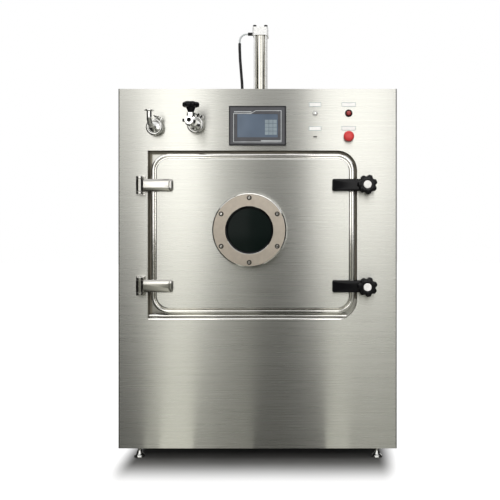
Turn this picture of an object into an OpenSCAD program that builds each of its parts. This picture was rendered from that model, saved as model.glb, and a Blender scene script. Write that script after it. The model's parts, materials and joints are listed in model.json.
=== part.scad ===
// Pilot freeze dryer with a stoppering ram: a stainless cabinet on levelling feet, a front-opening
// drying chamber with a sight glass, hanging shelves, and the refrigeration and vacuum plant below.

/* [Cabinet] */
// Width of the cabinet
cab_w = 1060; // [1040:5:1240]
// Height of the control strip, from the door's opening to the roof
strip_h = 235; // [225:1:260]
// Thickness of the cabinet's sheet metal
sheet = 1.5; // [1:0.1:2.5]
// Depth of the folds along the panels' edges
fold = 20; // [15:1:28]
// Height of the levelling feet below the cabinet
foot_h = 40; // [34:1:70]
// Diameter of a foot's pad
foot_d = 42; // [36:1:60]
// Distance between the left and the right feet
foot_span = 912; // [700:2:950]

/* [Frame] */
// Size of the base frame's square tube
base_tube = 50; // [40:1:60]
// Size of the posts' and rails' square tube
post_tube = 30; // [25:1:32]
// Wall of the square tubes
tube_wall = 2.5; // [2:0.5:4]
// Thickness of the tray that carries the machinery
tray_t = 2; // [1.5:0.5:4]

/* [Chamber] */
// Clear space between the shelves' guide ears and the chamber's side walls
side_room = 20; // [12:1:30]
// Clear space above the pressure plate
head_room = 26; // [24:1:40]
// Clear space in front of the shelves
front_room = 45; // [40:1:60]
// Clear space behind the shelves
back_room = 75; // [60:1:90]
// Wall of the chamber
chamber_wall = 5; // [3:1:8]
// Thickness of the sealing flange round the chamber's mouth
flange_t = 12; // [8:1:16]
// Distance from the front panel back to the sealing flange
flange_set = 40; // [38:1:46]

/* [Door] */
// Sideways place of the door's centre
door_cx = -18; // [-22:1:-14]
// Width of the door over its rim
door_w = 774; // [770:1:778]
// Height of the door over its rim
door_h = 608; // [600:1:612]
// Corner radius of the door's rim
door_r = 64; // [56:1:66]
// Width of the stepped rim round the raised face
rim_w = 19; // [14:1:24]
// How far the raised face stands proud of the front panel
face_proud = 8; // [6:1:10]
// How far the rim lies behind the front panel
rim_set = 3; // [2:1:6]
// Thickness of the door's pressed skin
skin_t = 2; // [1.5:0.5:3]
// Thickness of the door's inner plate
liner_t = 6; // [6:1:10]
// Gap between the door's rim and the panel at the hinge side
gap_left = 14; // [12:1:20]
// Gap between the door's rim and the panel at the clamp side
gap_right = 10; // [8:1:12]
// Gap above the door's rim
gap_top = 12; // [10:1:16]
// Gap below the door's rim
gap_bottom = 25; // [16:1:28]
// How much larger the opening's corner radius is than the door's
corner_gap = 12; // [8:1:16]

/* [Sight glass] */
// Outside diameter of the sight glass flange
sight_d = 280; // [270:2:300]
// Clear diameter through the flange
sight_bore = 190; // [170:2:200]
// How far the flange stands out of the door's face
sight_proud = 30; // [22:1:36]
// Thickness of the glass
glass_t = 12; // [8:1:14]
// Number of screws in the flange
sight_screws_n = 6; // [4:1:8]
// Sideways place of the sight glass from the door's centre
sight_dx = -10; // [-14:1:0]
// Height of the sight glass above the door's centre
sight_dz = 13; // [0:1:16]

/* [Hinges and clamps] */
// Distance between the upper and the lower hinge, and between the clamps
hinge_span = 382; // [360:2:400]
// How far the hinges' middle lies below the door's centre
hinge_drop = 8; // [4:1:12]
// Distance of the hinge axis from the rim of the door
hinge_out = 39; // [36:1:44]
// Diameter of the hinge barrel
barrel_d = 28; // [26:1:30]
// Height of the hinge barrel
barrel_h = 67; // [60:1:76]
// Diameter of the hinge pin
pin_d = 10; // [8:1:12]
// Length of a hinge arm from its axis
arm_l = 124; // [110:1:140]
// Height of a hinge arm
arm_h = 49; // [44:1:52]
// Thickness of a hinge arm
arm_t = 14; // [10:1:16]
// Length of a clamp arm over the door and panel
clamp_l = 131; // [126:1:140]
// Height of a clamp arm
clamp_h = 46; // [42:1:50]
// How far a clamp arm stands out of the door's face
clamp_t = 28; // [26:1:32]
// Distance from the door's rim out to the clamp stud
clamp_out = 46; // [42:1:52]
// Diameter of the clamp stud
stud_d = 12; // [10:1:14]
// Travel of a clamp stud as its knob is unscrewed
stud_travel = 20; // [18:1:24]
// Diameter of the star knob over its lobes
knob_d = 76; // [66:1:84]
// Number of lobes on the star knob
knob_lobes = 7; // [5:1:9]
// Height of the star knob
knob_h = 30; // [24:1:36]
// Diameter of the knob's cap
cap_d = 30; // [24:1:34]

/* [Shelves and ram] */
// Width of a shelf
shelf_w = 540; // [500:2:544]
// Depth of a shelf
shelf_d = 500; // [440:2:520]
// Thickness of a shelf
shelf_t = 18; // [14:1:20]
// Clear height between two shelves
shelf_gap = 85; // [76:1:85]
// How far each gap closes when the vials are stoppered
gap_travel = 35; // [25:1:36]
// Height of the fixed shelf above the chamber's floor
shelf_foot = 40; // [30:1:42]
// Diameter of the guide rods
guide_d = 16; // [12:1:18]
// Thickness of the pressure plate
plate_t = 22; // [16:1:22]
// Diameter of the ram's rod
rod_d = 22; // [18:1:25]
// Bore of the ram's cylinder
bore_d = 50; // [48:1:50]
// Wall of the cylinder's barrel
barrel_wall = 3; // [2:0.5:3]
// Length of the cylinder's barrel beyond its stroke and piston
ram_spare = 160; // [140:1:180]
// Thickness of the end caps
ram_cap_t = 35; // [30:1:40]
// Diameter of the tie rods
tie_d = 8; // [6:1:8]
// Length of the yoke between chamber and cylinder
yoke_h = 226; // [200:1:240]
// Outside diameter of the air hose
hose_d = 8; // [6:1:8]
// Outside diameter of the sleeve over the air hose
sleeve_d = 12; // [11:0.5:14]

/* [Controls] */
// Width of the touch panel's bezel
hmi_w = 218; // [200:1:230]
// Height of the touch panel's bezel
hmi_h = 151; // [140:1:160]
// Width of the touch panel's screen
screen_w = 154; // [140:1:160]
// Height of the touch panel's screen
screen_h = 88; // [80:1:96]
// Height of the touch panel's centre above the door's opening
hmi_up = 94; // [88:1:110]
// Height of the upper row of controls above the door's opening
upper_row_up = 142; // [130:1:160]
// Height of the lower row of controls above the door's opening
lower_row_up = 52; // [46:1:60]
// Sideways place of the push button and data socket
button_x = 219; // [210:1:230]
// Sideways place of the lamp and emergency stop
stop_x = 347; // [336:1:356]
// Diameter of the emergency stop's head
stop_d = 40; // [36:1:44]
// Travel of the emergency stop's head
stop_travel = 5; // [3:1:6]
// Diameter of the push button's bezel
button_d = 21; // [20:1:24]
// Diameter of the lamp's bezel
lamp_d = 29; // [28:1:32]

/* [Process ports] */
// Sideways place of the elbow's port
elbow_x = -388; // [-394:1:-380]
// Height of the elbow's port above the door's opening
elbow_up = 86; // [78:1:100]
// Sideways place of the valve's port
valve_x = -233; // [-240:1:-226]
// Height of the valve's port above the door's opening
valve_up = 94; // [80:1:100]
// Outside diameter of the process tube
tube_d = 19; // [16:1:22]
// Wall of the process tube
tube_t = 1.5; // [1:0.5:2]
// Diameter of the ferrules' rims
ferrule_d = 50; // [46:1:54]
// How far the elbow's upright tube stands out of the panel
elbow_reach = 100; // [80:1:110]
// Height of the elbow's open end above its port
elbow_rise = 52; // [48:1:60]
// How far the valve's open port stands out of the panel
valve_reach = 150; // [140:1:170]
// Distance of the valve's stem behind its open port
stem_back = 38; // [34:1:44]
// Diameter of the valve's handwheel
handwheel_d = 62; // [54:1:70]

/* [Plant] */
// Distance of the compressor and the vacuum pump from the cabinet's sides
plant_in = 263.5; // [240:0.5:280]
// Diameter of the refrigeration compressor
compressor_d = 240; // [200:5:260]
// Height of the refrigeration compressor
compressor_h = 320; // [260:5:340]
// Diameter of the cold trap's vessel
trap_d = 290; // [240:5:300]
// Height of the cold trap's vessel
trap_h = 480; // [400:5:520]
// Diameter of the vapour duct
duct_d = 150; // [100:5:160]
// Diameter of the condenser's fan
fan_d = 340; // [280:5:350]
// Number of the fan's blades
fan_blades = 5; // [3:1:7]

/* [Fits] */
// Radial running clearance of pins, rods and shafts
running = 0.06; // [0.04:0.01:0.1]
// Radial clearance of pieces that only pass through
passing = 0.4; // [0.3:0.05:0.6]

/* [Hidden] */
$fn = 48;

stainless = "#b9b6ab";
bright_steel = "#d6d6d3";
black_plastic = "#1d1e21";
dark_grey = "#4d5053";

// Overall reach in front of and behind the cabinet, so that the part stands centred on its box
rear_reach = 24;
inner_w = cab_w - 2 * sheet;
side_x = inner_w / 2;

// Condenser and fan, which set the height of the room for the plant
tray_top = base_tube + tray_t;
fan_bore = fan_d + 12;
fan_box = fan_bore + 48;
fan_hub_d = 80;
plenum_y = 62;
plenum_l = 59;
shroud_l = 118;
fan_z = tray_top + fan_box / 2 + 20;
plant_room = fan_box + 34;

// Shelf stack, which sets the room inside the chamber
guide_out = 24;
guide_dx = shelf_w / 2 + guide_out;
guide_dy = shelf_d / 2 - 70;
ear_r = guide_d / 2 + 8;
hanger_d = 8;
hanger_head_d = 16;
hanger_head_h = 5;
hanger_dx = shelf_w / 2 - 18;
hanger_dy = [shelf_d / 2 - 130, shelf_d / 2 - 160];
shelf_pitch = shelf_gap + shelf_t;

// Chamber, in heights above the cabinet's underside and depths behind its front panel
chamber_w = 2 * (guide_dx + ear_r + side_room);
chamber_h = shelf_foot + 4 * shelf_pitch + plate_t + head_room;
chamber_d = front_room + shelf_d + back_room;
rail_z = tray_top + plant_room;
rail_top = rail_z + post_tube;
chamber_stand = 53;
floor_z = rail_top + chamber_stand;
ceiling_z = floor_z + chamber_h;
mouth_y = flange_set + flange_t;
rear_wall_y = flange_set + chamber_d;
rail_ys = [150, 540];
rib_ys = [240, 440];
rib_h = 22;
rib_t = 8;
flange_lap = 10;
duct_wall = 3;
duct_l = 16;

// Cold trap behind the chamber, which sets the cabinet's depth
trap_room = 7;
trap_lid_out = 14;
trap_rear_room = 13;
trap_y = rear_wall_y + duct_l + trap_room + trap_d / 2;
cab_d = trap_y + trap_d / 2 + trap_lid_out + trap_rear_room;
inner_d = cab_d - 2 * sheet;
front_y = -(cab_d + rear_reach - valve_reach) / 2;

// Door and its opening, measured from the cabinet's underside
door_cz = floor_z + chamber_h / 2;
opening_r = door_r + corner_gap;
opening_top = door_cz + door_h / 2 + gap_top;
cab_h = opening_top + strip_h;
hmi_z = opening_top + hmi_up;
upper_row_z = opening_top + upper_row_up;
lower_row_z = opening_top + lower_row_up;
elbow_z = opening_top + elbow_up;
valve_z = opening_top + valve_up;

// Door section, measured behind the front panel
pan_back = 24;
liner_back = pan_back + liner_t;
gasket_groove = 3.5;
gasket_w = 14;
gasket_in = 16;
seat_gap = 0.3;
face_w = door_w - 2 * rim_w;
face_h = door_h - 2 * rim_w;
face_r = door_r - rim_w + 4;
face_chamfer = 3;
sight_x = door_cx + sight_dx;
sight_z = door_cz + sight_dz;
sight_pcd = (sight_d + sight_bore) / 2 + 8;

// Hinge axis and clamp studs
hinge_x = door_cx - door_w / 2 - hinge_out;
bracket_t = 4;
bracket_gap = 1;
hinge_y = -(bracket_t + bracket_gap + barrel_d / 2);
pair_zs = [door_cz - hinge_drop - hinge_span / 2, door_cz - hinge_drop + hinge_span / 2];
knuckle_gap = 0.4;
clamp_x = door_cx + door_w / 2 + clamp_out;
clamp_face = face_proud + clamp_t;
boss_d = 26;
boss_gap = 3;
arm_floor = 9;
boss_h = clamp_face - arm_floor;
boss_neck = 10;
washer_t = 3;
stud_end = boss_h - stud_travel + 2;

// Shelves and pressure plate
stack_y = flange_set + front_room + shelf_d / 2;
shelf_zs = [for (i = [0:4]) floor_z + shelf_foot + i * shelf_pitch];
plate_top = shelf_zs[4] + plate_t;
ram_travel = 4 * gap_travel;

// Ram cylinder over the chamber
gland_z = ceiling_z + chamber_wall;
gland_t = 24;
yoke_top = gland_z + yoke_h;
ram_barrel_z = yoke_top + ram_cap_t;
ram_barrel_d = bore_d + 2 * barrel_wall;
tie_gap = 1.25;
tie_span = (ram_barrel_d / 2 + tie_gap + tie_d / 2) * sqrt(2);
ram_cap = tie_span + 18;
roof_bore = 2 * (tie_span / sqrt(2) + tie_d / 2) + 13.5;
piston_t = 25;
ram_barrel_l = ram_travel + piston_t + ram_spare;
ram_top = ram_barrel_z + ram_barrel_l + ram_cap_t;
piston_top = ram_barrel_z + ram_barrel_l - 5;
nut_h = 6.5;
nut_af = 13;
port_z = ram_barrel_z + ram_barrel_l + ram_cap_t / 2 - 6;

// Air hose, from its fitting's mouth beside the upper cap down to the sleeve and the roof gland.
// The points are measured from the middle of the cap's left face, at the height of its port.
HOSE_POINTS = [[-22, 0, 0], [-26, 0, 0], [-34.3, 0, -1.1], [-42, 0, -4.3], [-48.6, 0, -9.4],
  [-53.7, 0, -16], [-56.9, 0, -23.7], [-58, 0, -32], [-58, 0, -40]];
SLEEVE_POINTS = [[-58, 0, -40], [-58, 0, -60], [-57, 0, -85], [-56, 0, -110], [-54, 0, -135],
  [-52, 0, -160], [-50, 0, -185], [-48, 0, -210], [-47, 0, -235], [-46, 0, -260], [-46, 0, -280]];
hose_from = [door_cx - ram_cap / 2, stack_y, port_z];
gland_at = hose_from + SLEEVE_POINTS[len(SLEEVE_POINTS) - 1];
gland_d = 24;
gland_neck = 16;

// Process ports and controls
clamp_y = 22;
clamp_w = 17;
ring_out = 6;
elbow_r = 28;
stem_y = valve_reach - stem_back;
valve_d = 30;
stem_d = 8;
bezel_t = 6;
screen_t = 2;

// Plant
plant_x = side_x - plant_in;
fan_x = fan_box / 2 + 148.5 - side_x;
fan_y = cab_d - 70;
fan_t = 36;
fan_shaft_d = 12;
compressor_y = 380;
pump_y = 300;
pump_l = 480;
pump_rail_w = 14;
pump_rail_h = 16;
pump_rails_x = [-70, 60];
tank_w = 170;
tank_l = 200;
tank_h = 190;
tank_y = 10;
tank_top = pump_rail_h + tank_h - 2;
filter_w = 60;
filter_l = 110;
filter_h = 40;
inlet_d = 44;
inlet_h = 60;
pump_motor_d = 160;
pump_motor_l = 230;
pump_motor_z = 110;
pump_foot = [130, 120, 32];
pump_foot_y = 300;
mains_z = 200;

// ---- helpers ----

// Everything is drawn from the front panel's outer face and the cabinet's underside
module in_place() translate([0, front_y, foot_h]) children();

// Extrudes a front-view outline backwards from the plane y = 0
module facing(t) translate([0, t, 0]) rotate([90, 0, 0]) linear_extrude(t) children();

// Turns a profile (radius, distance outwards) about an axis that points at the viewer
module turned() rotate([90, 0, 0]) rotate_extrude() children();

// A round bar that runs backwards from y = 0
module bar_y(d, l) rotate([-90, 0, 0]) cylinder(d = d, h = l);

module rounded(w, h, r) {
  square([w - 2 * r, h], center = true);
  square([w, h - 2 * r], center = true);
  for (x = [-1, 1], z = [-1, 1]) translate([x * (w / 2 - r), z * (h / 2 - r)]) circle(r);
}

// A plate with chamfered front edges, its front face towards the viewer at y = 0
module chamfered_plate(w, h, r, t, c) hull() {
  facing(t / 2) rounded(w - 2 * c, h - 2 * c, r - c, $fn = 32);
  translate([0, c, 0]) facing(t - c) rounded(w, h, r, $fn = 32);
}

module square_tube_ring(w, d, size, inset) difference() {
  translate([-w / 2 + inset, inset, inset]) cube([w - 2 * inset, d - 2 * inset, size - 2 * inset]);
  translate([-w / 2 + size - inset, size - inset, 0])
    cube([w - 2 * size + 2 * inset, d - 2 * size + 2 * inset, size]);
}

// The panel's opening: square corners at the hinge side, round ones at the clamp side
module opening_outline(inset) {
  w = door_w + gap_left + gap_right;
  h = door_h + gap_top + gap_bottom;
  translate([door_cx + (gap_right - gap_left) / 2, door_cz + (gap_top - gap_bottom) / 2]) {
    rounded(w - 2 * inset, h - 2 * inset, opening_r - inset);
    translate([inset - w / 2, inset - h / 2]) square([w / 2, h - 2 * inset]);
  }
}

// ---- frame ----

module base_tubes(inset) {
  square_tube_ring(inner_w, inner_d, base_tube, inset);
  for (y = [inner_d / 3, inner_d * 2 / 3])
    translate([-inner_w / 2 + base_tube - inset - 1, y - base_tube / 2 + inset, inset])
      cube([inner_w - 2 * base_tube + 2 * inset + 2, base_tube - 2 * inset, base_tube - 2 * inset]);
}

module feet_places() for (x = [-1, 1], y = [base_tube / 2, inner_d - base_tube / 2])
  translate([x * foot_span / 2, y + sheet, 0]) children();

module base_frame() color(dark_grey) in_place() difference() {
  union() {
    translate([0, sheet, 0]) difference() {
      base_tubes(0);
      base_tubes(tube_wall);
    }
    translate([-side_x, sheet, base_tube]) difference() {
      cube([inner_w, inner_d, tray_t]);
      for (x = [0, inner_w - post_tube], y = [0, inner_d - post_tube])
        translate([x, y, -1]) cube([post_tube, post_tube, tray_t + 2]);
    }
  }
  feet_places() translate([0, 0, -1]) cylinder(d = 12 + 2 * passing, h = tube_wall + 2);
}

module corner_posts() color(dark_grey) in_place()
  for (x = [-side_x, side_x - post_tube], y = [sheet, sheet + inner_d - post_tube])
    translate([x, y, base_tube]) difference() {
      cube([post_tube, post_tube, cab_h - sheet - post_tube - base_tube]);
      translate([tube_wall, tube_wall, -1])
        cube([post_tube - 2 * tube_wall, post_tube - 2 * tube_wall, cab_h]);
    }

module rail_tubes(inset) {
  side_l = inner_d - 2 * post_tube;
  for (x = [-side_x, side_x - post_tube]) translate([x + inset, post_tube + inset, inset])
    cube([post_tube - 2 * inset, side_l - 2 * inset, post_tube - 2 * inset]);
  for (y = concat(rail_ys, [trap_y]))
    translate([-side_x + post_tube - inset - 1, y - post_tube / 2 - sheet + inset, inset])
      cube([inner_w - 2 * post_tube + 2 * inset + 2, post_tube - 2 * inset, post_tube - 2 * inset]);
}

module frame_rails() color(dark_grey) in_place() translate([0, sheet, 0]) {
  translate([0, 0, rail_z]) difference() {
    rail_tubes(0);
    rail_tubes(tube_wall);
  }
  translate([0, 0, cab_h - sheet - post_tube]) difference() {
    square_tube_ring(inner_w, inner_d, post_tube, 0);
    square_tube_ring(inner_w, inner_d, post_tube, tube_wall);
  }
}

module levelling_feet() color(bright_steel) in_place() feet_places() {
  translate([0, 0, -foot_h]) rotate_extrude() polygon([
    [0, 0], [foot_d / 2, 0], [foot_d / 2, 4], [foot_d / 2 - 2, 8], [foot_d / 2 - 8, 14],
    [11, 20], [9, 26], [6, 26], [6, foot_h + 30], [0, foot_h + 30]
  ]);
  translate([0, 0, -nut_h]) difference() {
    cylinder(d = 21, h = nut_h, $fn = 6);
    translate([0, 0, -1]) cylinder(r = 6 + passing, h = nut_h + 2);
  }
}

// ---- panels ----

module control_holes() {
  translate([0, hmi_z]) square([hmi_w - 20, hmi_h - 20], center = true);
  translate([button_x, upper_row_z]) circle(d = button_d - 5);
  translate([button_x, lower_row_z]) square([14, 6], center = true);
  translate([stop_x, upper_row_z]) circle(d = lamp_d - 7);
  translate([stop_x, lower_row_z]) circle(d = 22);
  for (p = [[elbow_x, elbow_z], [valve_x, valve_z]]) translate(p) circle(d = tube_d + 2 * passing);
  for (z = pair_zs) translate([clamp_x, z]) circle(d = boss_neck + 2 * passing);
}

module clamp_boss() difference() {
  translate([0, -boss_h, 0]) bar_y(boss_d, boss_h);
  translate([0, -boss_h - 1, 0]) bar_y(stud_d + 2 * passing, boss_h - 2);
}

// Bosses for the clamp studs, each held by a nut behind the panel
module clamp_bosses() color(stainless) in_place() for (z = pair_zs) translate([clamp_x, 0, z]) {
  clamp_boss();
  translate([0, -1, 0]) bar_y(boss_neck, sheet + 8);
  translate([0, sheet, 0]) rotate([-90, 0, 0]) cylinder(d = 19, h = 6, $fn = 6);
}

module front_panel() color(stainless) in_place() {
  difference() {
    union() {
      facing(sheet) translate([-cab_w / 2, 0]) square([cab_w, cab_h]);
      for (x = [-cab_w / 2, cab_w / 2 - sheet]) translate([x, 0, 0]) cube([sheet, fold, cab_h - sheet]);
      facing(flange_set) opening_outline(-sheet);
    }
    translate([0, -1, 0]) facing(flange_set + 2) opening_outline(0);
    translate([0, -1, 0]) facing(sheet + 2) control_holes();
  }
}

// Louvres pressed inwards: each slot stands open under a sloping hood
louvre_l = 150;
louvre_pitch = 26;
louvre_slot = 8;
louvre_z = 130;
louvre_n = 8;
module louvre_places() for (y = [-110, 110], i = [0:louvre_n - 1])
  translate([0, cab_d / 2 + y - louvre_l / 2, louvre_z + i * louvre_pitch]) children();

module side_panel(side) {
  difference() {
    translate([side * cab_w / 2 - (side + 1) / 2 * sheet, fold, 0])
      cube([sheet, cab_d - 2 * fold, cab_h - fold]);
    louvre_places() translate([side * cab_w / 2 - sheet - 1, 0, 0])
      cube([2 * sheet + 2, louvre_l, louvre_slot]);
  }
  louvre_places() translate([side * (side_x + 0.5), louvre_l, 0]) rotate([90, 0, 0])
    linear_extrude(louvre_l) polygon([
      [0, louvre_slot], [0, louvre_slot + 2], [-side * 7, 2], [-side * 7, 0]
    ]);
}
module side_panels() color(stainless) in_place() for (side = [-1, 1]) side_panel(side);

module rear_panel() color(stainless) in_place() difference() {
  union() {
    translate([-cab_w / 2, cab_d - sheet, 0]) cube([cab_w, sheet, cab_h]);
    for (x = [-cab_w / 2, cab_w / 2 - sheet])
      translate([x, cab_d - fold, 0]) cube([sheet, fold, cab_h - sheet]);
  }
  for (i = [-6:6]) {
    slot = 2 * sqrt(pow(fan_d / 2, 2) - pow(i * 24, 2)) - 10;
    translate([fan_x - slot / 2, cab_d - sheet - 1, fan_z + i * 24 - 6]) cube([slot, sheet + 2, 12]);
  }
  translate([plant_x, cab_d - sheet - 1, mains_z]) bar_y(gland_neck + 2 * passing, sheet + 2);
}

module roof_panel() color(stainless) in_place() difference() {
  union() {
    translate([-cab_w / 2, sheet, cab_h - sheet]) cube([cab_w, inner_d, sheet]);
    for (x = [-cab_w / 2, cab_w / 2 - sheet])
      translate([x, fold, cab_h - fold]) cube([sheet, cab_d - 2 * fold, fold]);
  }
  translate([door_cx, stack_y, cab_h - sheet - 1]) cylinder(d = roof_bore, h = sheet + 2);
  translate([gland_at[0], gland_at[1], cab_h - sheet - 1])
    cylinder(d = gland_neck + 2 * passing, h = sheet + 2);
}

// ---- chamber ----

module chamber_shell() color(bright_steel) in_place() difference() {
  union() {
    translate([0, flange_set, 0]) facing(flange_t) opening_outline(-flange_lap);
    translate([door_cx - chamber_w / 2 - chamber_wall, mouth_y - 1, floor_z - chamber_wall])
      cube([chamber_w + 2 * chamber_wall, rear_wall_y - mouth_y + 1 + chamber_wall,
        chamber_h + 2 * chamber_wall]);
    for (y = rail_ys) translate([door_cx - chamber_w / 2 + 80, y - 20, rail_top])
      cube([chamber_w - 160, 40, chamber_stand - chamber_wall / 2]);
    for (y = rib_ys) translate([door_cx - chamber_w / 2 - rib_h, y, floor_z - chamber_wall - rib_h])
      cube([chamber_w + 2 * rib_h, rib_t, chamber_h + chamber_wall + 2 * rib_h]);
    translate([door_cx, rear_wall_y, door_cz]) bar_y(duct_d + 2 * duct_wall, duct_l);
  }
  translate([door_cx - chamber_w / 2, flange_set - 1, floor_z]) cube([chamber_w, chamber_d + 1, chamber_h]);
  translate([door_cx, stack_y, ceiling_z - 1]) cylinder(d = rod_d + 10, h = chamber_wall + 12);
  translate([door_cx, rear_wall_y - 1, door_cz]) bar_y(duct_d, duct_l + 2);
}

module guide_places() for (x = [-1, 1], y = [-1, 1])
  translate([door_cx + x * guide_dx, stack_y + y * guide_dy, 0]) children();

module guide_rods() color(bright_steel) in_place() guide_places() translate([0, 0, floor_z]) {
  cylinder(d = guide_d, h = chamber_h);
  cylinder(d = guide_d + 12, h = shelf_foot);
}

module hanger_places(level) for (x = [-1, 1], y = [-1, 1])
  translate([door_cx + x * hanger_dx, stack_y + y * hanger_dy[level % 2], 0]) children();

// A shelf with its four guide ears, cut for the hangers that pass through it
module shelf(i, t) difference() {
  union() {
    translate([door_cx, stack_y, shelf_zs[i]]) linear_extrude(t) rounded(shelf_w, shelf_d, 12);
    guide_places() translate([0, 0, shelf_zs[i]]) cylinder(r = ear_r, h = t);
    for (y = [-1, 1]) translate([door_cx - guide_dx, stack_y + y * guide_dy - ear_r, shelf_zs[i]])
      cube([2 * guide_dx, 2 * ear_r, t]);
  }
  guide_places() translate([0, 0, shelf_zs[i] - 1]) cylinder(r = guide_d / 2 + running, h = t + 2);
  if (i > 0 && i < 4)
    hanger_places(i) translate([0, 0, shelf_zs[i] - 1]) cylinder(r = hanger_d / 2 + 0.5, h = t + 2);
}

// Four bolts that hang shelf i - 1 from shelf i
module hangers(i) hanger_places(i - 1) {
  drop = shelf_gap + shelf_t;
  translate([0, 0, shelf_zs[i] - drop - hanger_head_h]) {
    cylinder(d = hanger_d, h = drop + hanger_head_h + 1);
    cylinder(d = hanger_head_d, h = hanger_head_h);
  }
}

module shelf_fixed() color(bright_steel) in_place() shelf(0, shelf_t);
module shelf_lower() color(bright_steel) in_place() shelf(1, shelf_t);
module shelf_middle() color(bright_steel) in_place() {
  shelf(2, shelf_t);
  hangers(2);
}
module shelf_upper() color(bright_steel) in_place() {
  shelf(3, shelf_t);
  hangers(3);
}
module pressure_plate() color(bright_steel) in_place() {
  shelf(4, plate_t);
  hangers(4);
}

// ---- ram ----

module ram_rod() color("#e2e2e0") in_place() translate([door_cx, stack_y, 0]) {
  translate([0, 0, plate_top]) cylinder(d = rod_d, h = piston_top - plate_top - piston_t);
  translate([0, 0, piston_top - piston_t]) cylinder(r = bore_d / 2 - running, h = piston_t);
}

module tie_places() for (x = [-1, 1], y = [-1, 1])
  translate([x * tie_span / 2, y * tie_span / 2, 0]) children();

yoke_side = 110;
module cylinder_yoke() color(bright_steel) in_place() translate([door_cx, stack_y, gland_z])
  difference() {
    union() {
      linear_extrude(gland_t) rounded(yoke_side, yoke_side, 10);
      for (x = [-1, 1], y = [-1, 1]) translate([x * 40, y * 40, gland_t - 1])
        cylinder(d = 16, h = yoke_h - gland_t - 9);
      translate([0, 0, yoke_h - 12]) linear_extrude(12) rounded(yoke_side, yoke_side, 10);
    }
    translate([0, 0, -1]) cylinder(r = rod_d / 2 + running, h = gland_t + 2);
    translate([0, 0, yoke_h - 20]) cylinder(r = rod_d / 2 + 2, h = 30);
    tie_places() translate([0, 0, yoke_h - 20]) cylinder(r = tie_d / 2 + passing, h = 30);
  }

module cylinder_barrel() color(bright_steel) in_place() translate([door_cx, stack_y, ram_barrel_z])
  difference() {
    cylinder(d = ram_barrel_d, h = ram_barrel_l);
    translate([0, 0, -1]) cylinder(d = bore_d, h = ram_barrel_l + 2);
  }

module ram_end_cap() difference() {
  linear_extrude(ram_cap_t) rounded(ram_cap, ram_cap, 6);
  tie_places() translate([0, 0, -1]) cylinder(r = tie_d / 2 + passing, h = ram_cap_t + 2);
}

module cylinder_caps() color("#8d8f90") in_place() translate([door_cx, stack_y, 0]) {
  translate([0, 0, yoke_top]) difference() {
    ram_end_cap();
    translate([0, 0, -1]) cylinder(r = rod_d / 2 + running, h = ram_cap_t + 2);
  }
  translate([0, 0, ram_top - ram_cap_t]) difference() {
    ram_end_cap();
    translate([-ram_cap / 2 - 1, 0, port_z - ram_top + ram_cap_t]) rotate([0, 90, 0])
      cylinder(r = 5 + passing, h = 15);
  }
}

module tie_rods() color(dark_grey) in_place() translate([door_cx, stack_y, 0]) tie_places() {
  low = yoke_top - 12 - nut_h;
  translate([0, 0, low - 2]) cylinder(d = tie_d, h = ram_top + nut_h + 2 - low + 2);
  for (z = [low, ram_top]) translate([0, 0, z]) cylinder(d = nut_af / cos(30), h = nut_h, $fn = 6);
}

module air_fitting() color(black_plastic) in_place() translate(hose_from) {
  rotate([0, 90, 0]) translate([0, 0, -8]) cylinder(d = 15, h = 8, $fn = 6);
  rotate([0, 90, 0]) translate([0, 0, -3]) cylinder(r = 5, h = 14);
  translate([-22, 0, 0]) rotate([0, 90, 0]) cylinder(d = hose_d + 6, h = 15);
}

// A tube swept along its points, one flat ring at each
function unit(v) = v / norm(v);
function ring_at(points, i, r, sides) = let (
    last = len(points) - 1,
    dir = unit(points[min(i + 1, last)] - points[max(i - 1, 0)]),
    out = unit(cross([0, 1, 0], dir))
  ) [for (k = [0:sides - 1]) points[i] + r * (cos(360 * k / sides) * out + [0, sin(360 * k / sides), 0])];

module swept_tube(points, d, sides) {
  n = len(points);
  polyhedron(
    points = [for (i = [0:n - 1]) each ring_at(points, i, d / 2, sides)],
    faces = concat(
      [[for (k = [sides - 1:-1:0]) k]],
      [for (i = [0:n - 2], k = [0:sides - 1]) [
        i * sides + k, i * sides + (k + 1) % sides,
        (i + 1) * sides + (k + 1) % sides, (i + 1) * sides + k
      ]],
      [[for (k = [0:sides - 1]) (n - 1) * sides + k]]
    )
  );
}

module air_hose() color("#c9cdd0") in_place() translate(hose_from) swept_tube(HOSE_POINTS, hose_d, 10);
module hose_sleeve() color(black_plastic) in_place() translate(hose_from)
  swept_tube(SLEEVE_POINTS, sleeve_d, 10);

// A cable gland: a neck with its lock nut inside the wall, and a domed nut outside
module gland(h) difference() {
  union() {
    rotate_extrude() polygon([
      [0, 0], [gland_d / 2, 0], [gland_d / 2, h * 0.6], [gland_d / 2 - 4, h], [0, h]
    ]);
    translate([0, 0, -sheet - 12]) cylinder(d = gland_neck, h = sheet + 13);
    translate([0, 0, -sheet - 5]) cylinder(d = gland_d, h = 5, $fn = 6);
  }
  translate([0, 0, -sheet - 13]) cylinder(d = hose_d, h = sheet + 12);
}

module cable_glands() color(black_plastic) in_place() {
  translate([gland_at[0], gland_at[1], cab_h]) gland(gland_at[2] - cab_h);
  translate([plant_x, cab_d, mains_z]) rotate([-90, 0, 0]) gland(rear_reach);
}

// ---- door ----

module sight_hole(d, t) translate([sight_x, -face_proud - 1, sight_z]) bar_y(d, t);
sight_neck = sight_bore + 16;

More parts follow.
